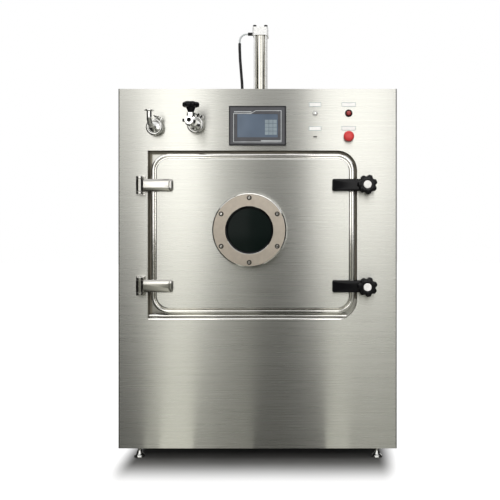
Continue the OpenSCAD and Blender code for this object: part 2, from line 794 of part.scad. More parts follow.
module door_skin() color(stainless) in_place() difference() {
  union() {
    translate([door_cx, -face_proud, door_cz])
      chamfered_plate(face_w, face_h, face_r, face_proud + rim_set + 2, face_chamfer);
    translate([door_cx, rim_set, door_cz]) facing(pan_back - rim_set) rounded(door_w, door_h, door_r);
  }
  translate([door_cx, skin_t - face_proud, door_cz]) facing(face_proud + pan_back)
    rounded(face_w - 2 * skin_t, face_h - 2 * skin_t, face_r - skin_t);
  translate([door_cx, rim_set + skin_t, door_cz]) facing(pan_back)
    rounded(door_w - 2 * skin_t, door_h - 2 * skin_t, door_r - skin_t);
  sight_hole(sight_neck + 2 * passing, 60);
}

module door_liner() color(bright_steel) in_place() difference() {
  translate([door_cx, pan_back, door_cz]) facing(liner_t) rounded(door_w, door_h, door_r);
  translate([door_cx, liner_back - gasket_groove, door_cz]) facing(liner_t) difference() {
    rounded(door_w - 2 * gasket_in, door_h - 2 * gasket_in, door_r - gasket_in);
    rounded(door_w - 2 * gasket_in - 2 * gasket_w, door_h - 2 * gasket_in - 2 * gasket_w,
      door_r - gasket_in - gasket_w);
  }
  sight_hole(sight_neck + 2 * passing, 60);
}

module door_gasket() color("#2c2d2e") in_place()
  translate([door_cx, liner_back - gasket_groove, door_cz])
    facing(flange_set - seat_gap - liner_back + gasket_groove) difference() {
      rounded(door_w - 2 * gasket_in - 2 * passing, door_h - 2 * gasket_in - 2 * passing,
        door_r - gasket_in - passing);
      rounded(door_w - 2 * gasket_in - 2 * gasket_w + 2 * passing,
        door_h - 2 * gasket_in - 2 * gasket_w + 2 * passing, door_r - gasket_in - gasket_w + passing);
    }

// The flange carries the glass in a seat from behind, and its neck passes through the door
module sight_flange() color("#b5ae9f") in_place() translate([sight_x, -face_proud, sight_z])
  difference() {
    turned() polygon([
      [sight_bore / 2, sight_proud], [sight_d / 2 - 3, sight_proud], [sight_d / 2, sight_proud - 3],
      [sight_d / 2, 0], [sight_neck / 2, 0], [sight_neck / 2, -face_proud - liner_back],
      [sight_bore / 2, -face_proud - liner_back]
    ]);
    turned() polygon([
      [0, sight_proud - 18], [sight_bore / 2 + 5, sight_proud - 18],
      [sight_bore / 2 + 5, sight_proud - 18 - glass_t - 0.6], [0, sight_proud - 18 - glass_t - 0.6]
    ]);
    for (i = [0:sight_screws_n - 1]) rotate([0, i * 360 / sight_screws_n + 30, 0])
      translate([sight_pcd / 2, -sight_proud - 1, 0]) bar_y(8 + 2 * passing, 26);
  }

module sight_glass() color("#10181a") in_place() translate([sight_x, -face_proud, sight_z])
  translate([0, -sight_proud + 18 + 0.3, 0]) bar_y(sight_bore + 10 - 2 * passing, glass_t);

module sight_screws() color(bright_steel) in_place() translate([sight_x, -face_proud, sight_z])
  for (i = [0:sight_screws_n - 1]) rotate([0, i * 360 / sight_screws_n + 30, 0])
    translate([sight_pcd / 2, -sight_proud, 0]) difference() {
      union() {
        translate([0, -6, 0]) bar_y(14, 6);
        bar_y(8, 24);
      }
      translate([0, -7, 0]) rotate([-90, 0, 0]) cylinder(d = 7, h = 5, $fn = 6);
    }

// ---- hinges ----

knuckle_h = (barrel_h - arm_h) / 2;
module hinge_brackets() color(bright_steel) in_place() for (z = pair_zs)
  translate([hinge_x, 0, z]) {
    translate([-barrel_d / 2 - 4, -bracket_t, -barrel_h / 2 - 4])
      cube([barrel_d + 8, bracket_t, barrel_h + 8]);
    for (s = [-barrel_h / 2, barrel_h / 2 - knuckle_h]) translate([0, 0, s]) {
      translate([0, hinge_y, 0]) cylinder(d = barrel_d, h = knuckle_h);
      translate([-barrel_d / 2, hinge_y, 0]) cube([barrel_d, -hinge_y - bracket_t / 2, knuckle_h]);
    }
    translate([0, hinge_y, -barrel_h / 2 - 2]) cylinder(d = pin_d, h = barrel_h + 4);
  }

module hinge_arms() color(bright_steel) in_place() for (z = pair_zs)
  translate([hinge_x, 0, z]) difference() {
    h = arm_h - 2 * knuckle_gap;
    union() {
      translate([0, hinge_y, -h / 2]) cylinder(d = barrel_d, h = h);
      translate([0, -face_proud - arm_t, 0]) {
        translate([0, 0, -h / 2]) cube([arm_l - h / 2, arm_t, h]);
        translate([arm_l - h / 2, 0, 0]) bar_y(h, arm_t);
      }
    }
    translate([0, hinge_y, -h]) cylinder(r = pin_d / 2 + running, h = 2 * h);
  }

// ---- door clamps ----

module clamp_arms() color(black_plastic) in_place() for (z = pair_zs)
  translate([clamp_x, -clamp_face, z]) difference() {
    union() {
      bar_y(clamp_h, clamp_t);
      translate([-clamp_l, 0, 0]) facing(clamp_t)
        translate([(clamp_l + 1) / 2, 0]) rounded(clamp_l + 1, clamp_h, 7);
    }
    translate([0, -1, 0]) bar_y(stud_d + 2 * running, clamp_t + 2);
    translate([0, clamp_face - boss_h - boss_gap / 2, 0]) bar_y(boss_d + 2 * boss_gap, clamp_t);
  }

module clamp_washer(z) color(bright_steel) in_place() translate([clamp_x, -clamp_face - washer_t, z])
  difference() {
    bar_y(30, washer_t);
    translate([0, -1, 0]) bar_y(stud_d + 2 * running, washer_t + 2);
  }
module clamp_washer_upper() clamp_washer(pair_zs[1]);
module clamp_washer_lower() clamp_washer(pair_zs[0]);

module knob_outline() {
  lobe = knob_d * 0.15;
  difference() {
    circle(d = knob_d * 0.86);
    for (i = [0:knob_lobes - 1]) rotate((i + 0.5) * 360 / knob_lobes)
      translate([knob_d * 0.5, 0]) circle(d = knob_d * 0.25);
  }
  for (i = [0:knob_lobes - 1]) rotate(i * 360 / knob_lobes)
    translate([knob_d / 2 - lobe, 0]) circle(lobe);
}

module star_knob(z) color(black_plastic) in_place()
  translate([clamp_x, -clamp_face - washer_t - 0.2, z]) difference() {
    union() {
      translate([0, -knob_h, 0]) facing(knob_h * 0.6) knob_outline();
      translate([0, -knob_h * 0.5, 0]) bar_y(34, knob_h * 0.5);
      translate([0, -2, 0]) bar_y(stud_d, clamp_face + washer_t + 2.2 - stud_end);
    }
    translate([0, -knob_h - 1, 0]) bar_y(cap_d + 2 * passing, 4);
  }
module star_knob_upper() star_knob(pair_zs[1]);
module star_knob_lower() star_knob(pair_zs[0]);

module knob_cap(z) color("white") in_place()
  translate([clamp_x, -clamp_face - washer_t - 0.2 - knob_h + 3, z])
    turned() polygon([[0, 0], [cap_d / 2, 0], [cap_d / 2, 4], [cap_d / 2 - 3, 6], [0, 6.5]]);
module knob_cap_upper() knob_cap(pair_zs[1]);
module knob_cap_lower() knob_cap(pair_zs[0]);

// ---- controls ----

module hmi_panel() color(dark_grey) in_place() translate([0, 0, hmi_z]) difference() {
  union() {
    translate([0, -bezel_t, 0]) chamfered_plate(hmi_w, hmi_h, 5, bezel_t, 2);
    translate([0, -1, 0]) facing(46) square([hmi_w - 22, hmi_h - 22], center = true);
  }
  translate([0, -bezel_t - 1, 0]) facing(screen_t + 2) square([screen_w, screen_h], center = true);
}

module hmi_screen() color("#5d6f7a") in_place() translate([0, 1 - bezel_t, hmi_z])
  facing(screen_t) square([screen_w, screen_h], center = true);

module button_bezel() color(bright_steel) in_place() translate([button_x, 0, upper_row_z])
  difference() {
    union() {
      turned() polygon([[0, 0], [button_d / 2, 0], [button_d / 2, 1.5], [button_d / 2 - 1.5, 3], [0, 3]]);
      translate([0, -1, 0]) bar_y(button_d - 5 - 2 * passing, 28);
    }
    translate([0, -4, 0]) bar_y(12 + 2 * running, 20);
  }

module push_button() color(bright_steel) in_place() translate([button_x, -4.5, upper_row_z])
  bar_y(12, 12);

module data_socket() color(black_plastic) in_place() translate([button_x, 0, lower_row_z])
  difference() {
    union() {
      translate([0, -3, 0]) facing(3) rounded(19, 10, 2);
      translate([0, -1, 0]) facing(18) square([13, 5.4], center = true);
    }
    translate([0, -4, 0]) facing(16) square([11.5, 4], center = true);
  }

module indicator_lamp() color("#7c1f1d") in_place() translate([stop_x, 0, upper_row_z]) {
  turned() polygon([[0, 0], [lamp_d / 2, 0], [lamp_d / 2, 2], [lamp_d / 2 - 2, 4], [lamp_d / 2 - 4, 4],
    [lamp_d / 2 - 5, 8], [lamp_d / 2 - 9, 10], [0, 11]]);
  translate([0, -1, 0]) bar_y(lamp_d - 7 - 2 * passing, 36);
}

stem_r = 7;
module stop_collar() color(black_plastic) in_place() translate([stop_x, 0, lower_row_z])
  difference() {
    union() {
      turned() polygon([[0, 0], [15, 0], [15, 6], [13, 9], [0, 9]]);
      translate([0, -1, 0]) bar_y(22 - 2 * passing, 46);
    }
    translate([0, -10, 0]) bar_y(2 * (stem_r + running), 30);
  }

module stop_plunger() color(black_plastic) in_place() translate([stop_x, -16, lower_row_z])
  bar_y(2 * stem_r, 28);

module stop_head() color("#c81f1b") in_place() translate([stop_x, 0, lower_row_z]) difference() {
  turned() polygon([
    [0, 9.6 + stop_travel], [stop_d / 2 - 4, 9.6 + stop_travel], [stop_d / 2, 13 + stop_travel],
    [stop_d / 2, 20 + stop_travel], [stop_d / 2 - 4, 25 + stop_travel], [0, 27 + stop_travel]
  ]);
  translate([0, -16 - running, 0]) bar_y(2 * (stem_r + running), 20);
}

// ---- process ports ----

// A ferrule with its rim at the outer end of a tube, drawn outwards from the panel
module ferrule(from, to) polygon([
  [tube_d / 2 - tube_t, from], [tube_d / 2, from], [tube_d / 2, to - 8], [ferrule_d / 2 - 3, to - 4],
  [ferrule_d / 2, to - 3], [ferrule_d / 2, to], [tube_d / 2 - tube_t, to]
]);

module port_places() for (p = [[elbow_x, elbow_z], [valve_x, valve_z]]) translate([p[0], 0, p[1]]) children();

module panel_ferrules() color(bright_steel) in_place() port_places() turned() ferrule(-30, clamp_y);

// A two-half clamp drawn round both rims, with the swing bolt and wing nut at its top right
module tube_clamp() {
  inner = ferrule_d / 2 + 0.4;
  turned() translate([0, clamp_y]) polygon([
    [inner, -3.5], [inner - 5, -clamp_w / 2], [inner + ring_out, -clamp_w / 2],
    [inner + ring_out, clamp_w / 2], [inner - 5, clamp_w / 2], [inner, 4]
  ]);
  rotate([0, -62, 0]) translate([inner + ring_out - 1, -clamp_y, 0]) {
    for (z = [-11, 3]) translate([0, -6, z]) cube([14, 12, 8]);
    translate([8, 0, -15]) cylinder(d = 6, h = 34);
    translate([8, 0, 12]) cylinder(d = 10, h = 6);
    translate([8 - 2, -15, 12]) cube([4, 30, 9]);
  }
}

module tube_clamps() color(bright_steel) in_place() port_places() tube_clamp();

module port_elbow() color(bright_steel) in_place() translate([elbow_x, 0, elbow_z]) {
  start = clamp_y + seat_gap;
  turned() translate([0, start]) polygon([
    [tube_d / 2 - tube_t, 0], [ferrule_d / 2, 0], [ferrule_d / 2, 3], [ferrule_d / 2 - 3, 4],
    [tube_d / 2, 8], [tube_d / 2, elbow_reach - elbow_r - start],
    [tube_d / 2 - tube_t, elbow_reach - elbow_r - start]
  ]);
  translate([0, -elbow_reach + elbow_r, elbow_r]) rotate([0, 90, 0]) rotate_extrude(angle = -90)
    translate([elbow_r, 0]) difference() {
      circle(d = tube_d);
      circle(d = tube_d - 2 * tube_t);
    }
  translate([0, -elbow_reach, elbow_r]) rotate_extrude() polygon([
    [tube_d / 2 - tube_t, 0], [tube_d / 2, 0], [tube_d / 2, elbow_rise - elbow_r - 5],
    [17, elbow_rise - elbow_r - 3], [17, elbow_rise - elbow_r], [tube_d / 2 - tube_t, elbow_rise - elbow_r]
  ]);
}

bonnet_z = 16;
wheel_z = 48;
module valve_body() color(bright_steel) in_place() translate([valve_x, 0, valve_z]) {
  difference() {
    union() {
      turned() polygon([
        [0, clamp_y + seat_gap], [ferrule_d / 2, clamp_y + seat_gap], [ferrule_d / 2, clamp_y + 3],
        [ferrule_d / 2 - 3, clamp_y + 4], [12, clamp_y + 10], [12, stem_y - 24], [20, stem_y - 18],
        [20, stem_y + 12], [valve_d / 2, stem_y + 18], [valve_d / 2, valve_reach], [0, valve_reach]
      ]);
      translate([0, -stem_y, 0]) cylinder(d = 24, h = bonnet_z + 2);
      translate([0, -stem_y, bonnet_z]) cylinder(d = 30, h = 15, $fn = 6);
      translate([0, -stem_y, bonnet_z + 14]) cylinder(d = stem_d, h = wheel_z + 20 - bonnet_z - 14);
      translate([-valve_d / 2 - 9, -valve_reach + 12, 0]) rotate([0, 90, 0]) cylinder(d = 11, h = 14);
    }
    translate([0, -valve_reach - 1, 0]) bar_y(16, 24);
  }
}

module valve_handwheel() color(black_plastic) in_place() translate([valve_x, -stem_y, valve_z])
  difference() {
    union() {
      translate([0, 0, wheel_z + 3]) linear_extrude(20) {
        circle(d = handwheel_d * 0.84);
        for (i = [0:5]) rotate(i * 60) translate([handwheel_d / 2 - 9, 0]) circle(9);
      }
      translate([0, 0, bonnet_z + 16]) cylinder(d1 = 20, d2 = 34, h = wheel_z - bonnet_z - 12);
    }
    translate([0, 0, bonnet_z + 15]) cylinder(r = stem_d / 2 + running, h = wheel_z + 22 - bonnet_z - 15);
  }

// ---- plant ----

module compressor() color("#22252a") in_place() translate([-plant_x, compressor_y, tray_top]) {
  rotate_extrude() polygon([
    [0, 12], [compressor_d / 2 - 20, 12], [compressor_d / 2, 34], [compressor_d / 2, compressor_h - 60],
    [compressor_d / 2 - 14, compressor_h - 26], [compressor_d / 2 - 44, compressor_h - 6], [0, compressor_h]
  ]);
  for (a = [0:3]) rotate(a * 90 + 45) {
    translate([60, -22, 0]) cube([compressor_d / 2 - 20, 44, 5]);
    translate([compressor_d / 2 + 14, 0, 0]) cylinder(d = 30, h = 12);
    translate([60, -10, 4]) cube([20, 20, 12]);
  }
}

coil_d = 66;
fin_pitch = 15;
row_pitch = 48;
module finned_condenser() color("#a8adb0") in_place()
  translate([fan_x - fan_box / 2, fan_y - 64 - coil_d, tray_top]) {
    for (x = [0, fan_box - 4]) translate([x, 0, 0]) cube([4, coil_d, fan_box]);
    for (x = [18:fin_pitch:fan_box - 18]) translate([x, 4, 6]) cube([1.2, coil_d - 8, fan_box - 12]);
    for (z = [30:row_pitch:fan_box - 30], y = [coil_d / 2 - 13, coil_d / 2 + 13])
      translate([0, y, z]) rotate([0, 90, 0]) cylinder(d = 10, h = fan_box);
  }

module fan_shroud() color(dark_grey) in_place() translate([fan_x, fan_y, 0]) {
  difference() {
    translate([-fan_box / 2, -plenum_y, tray_top]) cube([fan_box, shroud_l, fan_box]);
    translate([4 - fan_box / 2, -plenum_y - 1, tray_top + 4]) cube([fan_box - 8, plenum_l + 1, fan_box - 8]);
    translate([0, -10, fan_z]) bar_y(fan_bore, shroud_l - plenum_y + 24);
  }
  translate([0, fan_t, fan_z]) {
    for (a = [45, 135]) rotate([0, a, 0]) translate([-fan_bore / 2 - 2, 6, -8]) cube([fan_bore + 4, 6, 16]);
    bar_y(90, 20);
    translate([0, -fan_t - 4, 0]) bar_y(fan_shaft_d, fan_t + 6);
  }
}

module fan() color("#2a2c30") in_place() translate([fan_x, fan_y - 6, fan_z]) difference() {
  union() {
    bar_y(fan_hub_d, fan_t);
    intersection() {
      bar_y(fan_d, fan_t);
      for (i = [0:fan_blades - 1]) rotate([0, i * 360 / fan_blades, 0])
        translate([fan_d / 4, fan_t / 2, 0]) rotate([28, 0, 0])
          cube([fan_d / 2 - 6, 3, 90], center = true);
    }
  }
  translate([0, -1, 0]) bar_y(fan_shaft_d + 2 * running, fan_t + 2);
}

module vacuum_pump() color("#30517a") in_place() translate([plant_x, pump_y, tray_top]) {
  for (x = pump_rails_x) translate([x, 0, 0]) cube([pump_rail_w, pump_l, pump_rail_h]);
  translate([-tank_w / 2, tank_y, pump_rail_h - 1]) cube([tank_w, tank_l, tank_h]);
  translate([-filter_w, tank_y + 30, tank_top]) cube([filter_w, filter_l, filter_h]);
  translate([filter_w / 2, tank_l / 2, tank_top]) cylinder(d = inlet_d, h = inlet_h);
  translate([0, tank_y + tank_l - 1, pump_motor_z]) {
    bar_y(pump_motor_d - 40, 32);
    translate([0, 30, 0]) bar_y(pump_motor_d, pump_motor_l);
    for (i = [0:11]) rotate([0, i * 30, 0])
      translate([pump_motor_d / 2 - 2, 50, -2]) cube([10, pump_motor_l - 50, 4]);
  }
  translate([-pump_foot[0] / 2, pump_foot_y, pump_rail_h - 1]) cube(pump_foot);
}

// Half the section of the cold trap's vessel: a dished bottom, a straight wall and a bolted lid
module trap_section(in) polygon([
  [0, in], [trap_d / 2 - 40, in], [trap_d / 2 - in, 30], [trap_d / 2 - in, trap_h - in], [0, trap_h - in]
]);

module cold_trap() color(bright_steel) in_place() translate([door_cx, trap_y, 0]) {
  wall = 5;
  duct_from = rear_wall_y + duct_l - trap_y;
  difference() {
    union() {
      translate([0, 0, rail_top + 30]) {
        rotate_extrude() trap_section(0);
        translate([0, 0, trap_h - 16]) cylinder(r = trap_d / 2 + trap_lid_out, h = 16);
      }
      for (x = [-90, 60]) translate([x, -20, rail_top]) cube([30, 40, 40]);
      translate([0, duct_from, door_cz]) bar_y(duct_d + 2 * duct_wall, -duct_from - 20);
    }
    translate([0, 0, rail_top + 30]) rotate_extrude() trap_section(wall);
    translate([0, duct_from - 1, door_cz]) bar_y(duct_d, -duct_from - 20);
  }
}

base_frame();
corner_posts();
frame_rails();
levelling_feet();
front_panel();
clamp_bosses();
side_panels();
rear_panel();
roof_panel();
chamber_shell();
guide_rods();
shelf_fixed();
shelf_lower();
shelf_middle();
shelf_upper();
pressure_plate();
ram_rod();
cylinder_yoke();
cylinder_barrel();
cylinder_caps();
tie_rods();
air_fitting();
air_hose();
hose_sleeve();
cable_glands();
door_skin();
door_liner();
door_gasket();
sight_flange();
sight_glass();
sight_screws();
hinge_brackets();
hinge_arms();
clamp_arms();
clamp_washer_upper();
clamp_washer_lower();
star_knob_upper();
star_knob_lower();
knob_cap_upper();
knob_cap_lower();
hmi_panel();
hmi_screen();
button_bezel();
push_button();
data_socket();
indicator_lamp();
stop_collar();
stop_plunger();
stop_head();
panel_ferrules();
tube_clamps();
port_elbow();
valve_body();
valve_handwheel();
compressor();
finned_condenser();
fan_shroud();
fan();
vacuum_pump();
cold_trap();
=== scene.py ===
# %% [markdown]
# A pilot freeze dryer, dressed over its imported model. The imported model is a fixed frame: every
# piece made here takes its place from it, and replaces or covers the plain solid of the same name.
# Blender counts in metres, so MM turns the millimetres of a workshop drawing into metres.

# %% Load the frame
import json
from math import cos, pi, radians, sin

import bmesh
import bpy
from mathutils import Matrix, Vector


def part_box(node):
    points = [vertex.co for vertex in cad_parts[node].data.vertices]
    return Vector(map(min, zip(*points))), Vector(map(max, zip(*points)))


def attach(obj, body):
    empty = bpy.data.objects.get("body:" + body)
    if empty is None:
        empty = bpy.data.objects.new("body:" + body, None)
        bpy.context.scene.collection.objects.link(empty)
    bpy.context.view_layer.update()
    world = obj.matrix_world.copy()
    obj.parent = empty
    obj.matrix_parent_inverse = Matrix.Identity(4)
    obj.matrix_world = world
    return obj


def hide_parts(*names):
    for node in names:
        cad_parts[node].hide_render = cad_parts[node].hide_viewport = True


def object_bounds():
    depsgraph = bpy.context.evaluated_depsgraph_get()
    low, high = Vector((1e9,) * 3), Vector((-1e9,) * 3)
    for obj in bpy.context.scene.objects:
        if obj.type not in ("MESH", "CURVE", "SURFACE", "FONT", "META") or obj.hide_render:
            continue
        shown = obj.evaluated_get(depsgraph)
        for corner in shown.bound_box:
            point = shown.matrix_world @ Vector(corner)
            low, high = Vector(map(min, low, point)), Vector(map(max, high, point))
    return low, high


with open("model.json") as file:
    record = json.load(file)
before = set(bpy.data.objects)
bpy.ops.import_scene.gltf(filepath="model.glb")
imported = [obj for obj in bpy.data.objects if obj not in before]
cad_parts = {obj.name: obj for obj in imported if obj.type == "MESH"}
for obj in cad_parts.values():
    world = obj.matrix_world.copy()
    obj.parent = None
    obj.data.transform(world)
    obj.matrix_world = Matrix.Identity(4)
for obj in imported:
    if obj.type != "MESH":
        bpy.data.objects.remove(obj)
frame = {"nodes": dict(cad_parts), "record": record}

MM = 0.001
CAD_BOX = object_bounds()
BODY_OF = {node: body for body, nodes in frame["record"]["behaviour"]["bodies"].items() for node in nodes}

# %% [markdown]
# All places come from the frame. They could be typed in, but then a cabinet built again with another
# width would leave its dressing behind. So the panel's face, the door's face and the middle of each
# fitting are read off the boxes of the solids that end there.

# %% Places
PANEL_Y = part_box("roof_panel")[0].y - 1.5 * MM
door_lo, door_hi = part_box("door_skin")
FACE_Y = door_lo.y


def middle(node):
    """The middle of a solid's box."""
    lo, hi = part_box(node)
    return (lo + hi) / 2


def on_plane(node, y):
    """The middle of a solid, moved to a plane that faces the viewer."""
    spot = middle(node)
    return Vector((spot.x, y, spot.z))


print("panel face at y =", round(PANEL_Y, 4), "door face at y =", round(FACE_Y, 4))

# %% [markdown]
# A piece is a mesh object at the origin with its place in its mesh. Seating it does three things: it
# rides on the body of its solid, so that it moves with the door or the ram, it gets the given
# finish, and it hides the solid that it replaces. One helper does it, so no piece misses any.

# %% Pieces and their seats
def new_piece(name, mesh):
    piece = bpy.data.objects.new(name, mesh)
    bpy.context.scene.collection.objects.link(piece)
    return piece


def shade(mesh, angle):
    """Smooth shading that stays sharp at edges steeper than the angle."""
    mesh.shade_smooth()
    mesh.set_sharp_from_angle(angle=radians(angle))


def seat(piece, node, material, replace=True):
    """Puts a finished piece on the body of a solid with the given finish, and hides the solid if replaced."""
    piece.data.materials.clear()
    piece.data.materials.append(material)
    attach(piece, BODY_OF[node])
    if replace:
        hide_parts(node)
    return piece


def fit(mesh, node, material, angle=0, replace=True):
    """Makes a piece of a mesh, smooths it up to the angle, and seats it."""
    if angle:
        shade(mesh, angle)
    return seat(new_piece(mesh.name, mesh), node, material, replace)


print(len(set(BODY_OF.values())), "bodies carry pieces")

# %% [markdown]
# Nothing real has a perfectly sharp edge, and a bare solid gives itself away by not catching light
# along its corners. A copy of the solid gets a narrow bevel, and weighted normals keep its large
# faces flat. Solids that hardly show only get their finish, which costs no faces at all.

# %% Broken edges
def bake_modifiers(piece):
    """Turns a piece with modifiers into a plain mesh."""
    graph = bpy.context.evaluated_depsgraph_get()
    mesh = bpy.data.meshes.new_from_object(piece.evaluated_get(graph))
    piece.modifiers.clear()
    piece.data = mesh
    return piece


def soft_edges(piece, width, segments=2):
    edge = piece.modifiers.new("edges", "BEVEL")
    edge.width, edge.segments = width, segments
    edge.limit_method, edge.angle_limit = "ANGLE", radians(35)
    bake_modifiers(piece)
    shade(piece.data, 60)
    piece.modifiers.new("weighted", "WEIGHTED_NORMAL").keep_sharp = True
    return bake_modifiers(piece)


def dress(node, material, width=0.6 * MM, segments=2):
    """A solid with joined corners, whole flat faces and broken edges."""
    mesh = frame["nodes"][node].data.copy()
    work = bmesh.new()
    work.from_mesh(mesh)
    bmesh.ops.remove_doubles(work, verts=work.verts, dist=0.02 * MM)
    bmesh.ops.dissolve_limit(work, angle_limit=radians(0.5), verts=work.verts, edges=work.edges)
    work.to_mesh(mesh)
    work.free()
    piece = soft_edges(new_piece(node + "_dressed", mesh), width, segments)
    print(node, "dressed with", len(piece.data.polygons), "faces")
    return seat(piece, node, material)


def finish_only(material, *nodes):
    """Keeps solids as they are and gives them their finish."""
    for node in nodes:
        mesh = frame["nodes"][node].data
        mesh.materials.clear()
        mesh.materials.append(material)
    print(material.name, "on", ", ".join(nodes))


print("bevels are", round(0.6 * MM, 4), "m wide unless a piece asks for more")

# %% [markdown]
# Turned, pressed and moulded forms are lofts here: a list of closed outlines with the same number of
# points, each joined to the next by a band of faces. A subdivided box could be rounded as well, but
# in a loft every small radius is one more outline, exactly where the real edge has it. All outlines
# are made of arcs, and a lathe is a loft of circles that grow and shrink along an axis.

# %% Outlines
def arc(cx, cz, r, y, first, last, steps):
    """Points on an arc in a plane that faces the viewer, from one angle in degrees to another."""
    angles = [radians(first + (last - first) * i / steps) for i in range(steps + 1)]
    return [(cx + r * cos(a), y, cz + r * sin(a)) for a in angles]


def circle(cx, cz, r, y, count):
    return arc(cx, cz, r, y, 0, 360, count)[:-1]


def rounded_outline(cx, cz, w, h, r, y, corner):
    """A rounded rectangle, counter-clockwise from its lower right corner."""
    points = []
    for sx, sz, start in ((1, -1, -90), (1, 1, 0), (-1, 1, 90), (-1, -1, 180)):
        points += arc(cx + sx * (w / 2 - r), cz + sz * (h / 2 - r), r, y, start, start + 90, corner)
    return points


def square(cx, cz, half_w, half_h):
    """The four corners of a rectangle as (x, z) pairs."""
    return [(cx + sx * half_w, cz + sz * half_h) for sx, sz in ((-1, -1), (1, -1), (1, 1), (-1, 1))]


print("a circle of 48 points turns", round(360 / 48, 2), "degrees a step")

# %% Lofts, lathes and sheets
def band(work, a, b):
    """Faces between two rings of corners."""
    for i in range(len(a)):
        j = (i + 1) % len(a)
        work.faces.new((a[i], a[j], b[j], b[i]))


def mesh_of(work, name):
    """Turns a bmesh into a mesh whose faces look outward."""
    bmesh.ops.recalc_face_normals(work, faces=work.faces)
    mesh = bpy.data.meshes.new(name)
    work.to_mesh(mesh)
    work.free()
    return mesh


def loft(name, outlines, cap_first=False, cap_last=False):
    """Bands between outlines. If the last outline is the first one, the form closes on itself."""
    work = bmesh.new()
    rings = []
    for outline in outlines:
        again = rings and outline is outlines[0]
        rings.append(rings[0] if again else [work.verts.new(p) for p in outline])
    for a, b in zip(rings, rings[1:]):
        band(work, a, b)
    for wanted, ring in ((cap_first, rings[0]), (cap_last, rings[-1])):
        if wanted:
            work.faces.new(ring)
    return mesh_of(work, name)


def lathe(name, profile, centre, axis="Y", count=48):
    """Turns a profile of (radius, distance), in millimetres, about an axis to the viewer or up."""
    rings = []
    for r, d in profile:
        ring = circle(0, 0, max(r, 0.02) * MM, -d * MM, count)
        if axis == "Z":
            ring = [(x, z, -y) for x, y, z in ring]
        rings.append([centre + Vector(p) for p in ring])
    closed = profile[0] == profile[-1]
    if closed:
        rings[-1] = rings[0]
    return loft(name, rings, not closed, not closed)


def sheet(name, rows):
    """An open sheet of faces through rows of points."""
    count = len(rows[0])
    faces = [(k + i, k + i + 1, k + count + i + 1, k + count + i)
             for k in range(0, count * (len(rows) - 1), count) for i in range(count - 1)]
    mesh = bpy.data.meshes.new(name)
    mesh.from_pydata([point for row in rows for point in row], [], faces)
    return mesh


def upright(x0, x1, y, z0, z1):
    """The two rows of an upright rectangle that faces the viewer."""
    return [[(x, y, z) for x in (x0, x1)] for z in (z0, z1)]


print("a sheet of rows, a loft of outlines, a lathe of circles")

# %% [markdown]
# The camera looks straight at the front panel from a little to the right, with its lens shifted so
# that the cabinet stays square in the view. Turning the camera would be simpler, but then the
# cabinet's edges would lean. From here the ports' clamps show beside the valves in front of them.

# %% Camera
EYE = Vector((0.25, PANEL_Y - 2.65, 0.88))
SEEN_WIDTH = 1.905
SEEN_CENTRE = Vector((-0.029, PANEL_Y, 0.796))
lens = bpy.data.cameras.new("camera")
lens.lens = lens.sensor_width * (PANEL_Y - EYE.y) / SEEN_WIDTH
lens.shift_x = (SEEN_CENTRE.x - EYE.x) / SEEN_WIDTH
lens.shift_y = (SEEN_CENTRE.z - EYE.z) / SEEN_WIDTH
lens.clip_end = 60
camera = new_piece("camera", lens)
camera.location = EYE
camera.rotation_euler = (pi / 2, 0, 0)
bpy.context.scene.camera = camera
bpy.context.scene.view_settings.view_transform = "Standard"
print("lens", round(lens.lens, 1), "mm")

# %% [markdown]
# Finishes, floor, cards and the trees that repeat pieces are all node trees. Adding a node takes
# the same three steps each time: make it, set its options, fill or link its inputs. One helper does
# them: it links a socket, or the first output of a node, and writes whatever is a plain value.

# %% Nodes
def add(tree, kind, inputs=None, **options):
    node = tree.nodes.new(kind)
    for key, value in options.items():
        setattr(node, key, value)
    for key, value in (inputs or {}).items():
        if isinstance(value, (bpy.types.Node, bpy.types.NodeSocket)):
            tree.links.new(getattr(value, "outputs", [value])[0], node.inputs[key])
        else:
            node.inputs[key].default_value = value
    return node


def empty_tree(owner):
    """The node tree of a material or a world, cleared."""
    owner.use_nodes = True
    owner.node_tree.nodes.clear()
    return owner.node_tree


def noise_on(tree, scale, stretch=(1, 1, 1), detail=3.0, roughness=0.5):
    """A stretched noise on Object coordinates, so that it stays put on a piece that moves."""
    place = add(tree, "ShaderNodeTexCoord")
    mapping = add(tree, "ShaderNodeMapping", {"Vector": place.outputs["Object"], "Scale": stretch})
    return add(tree, "ShaderNodeTexNoise", {"Vector": mapping, "Scale": scale, "Detail": detail,
                                            "Roughness": roughness})


def two_tone(tree, value, low, dark, light):
    """Goes from a dark to a light tone as the value goes from low to 1 - low."""
    node = add(tree, "ShaderNodeValToRGB", {"Fac": value})
    for element, place, colour in zip(node.color_ramp.elements, (low, 1 - low), (dark, light)):
        element.position, element.color = place, (*colour, 1.0)
    return node


def shades(colour, amount):
    """A colour a little darker and a little lighter."""
    return [max(0.0, c * (1 - amount)) for c in colour], [min(1.0, c * (1 + amount)) for c in colour]


def spread(tree, value, low, high):
    """The middle half of a noise, spread between two values."""
    return add(tree, "ShaderNodeMapRange", {"Value": value, "From Min": 0.25, "From Max": 0.75,
                                            "To Min": low, "To Max": high})


def bump(tree, height, distance, strength):
    return add(tree, "ShaderNodeBump", {"Height": height, "Distance": distance, "Strength": strength})


def finish(name, recipe):
    """A material with one Principled shader. The recipe makes its inputs in the material's tree."""
    material = bpy.data.materials.new(name)
    tree = empty_tree(material)
    add(tree, "ShaderNodeOutputMaterial", {"Surface": add(tree, "ShaderNodeBsdfPrincipled", recipe(tree))})
    return material


print("a finish is one shader and the noises that feed it")

# %% [markdown]
# The cabinet and the door are stainless sheet, brushed along one direction. The brush leaves hair
# fine grooves, so the sheet spreads light across the strokes and hardly along them. A tiled texture
# would repeat visibly on so large a panel. Here a noise that is squeezed across the strokes gives
# the hairs, a coarser one the streaks, and anisotropy along a tangent the long glow.

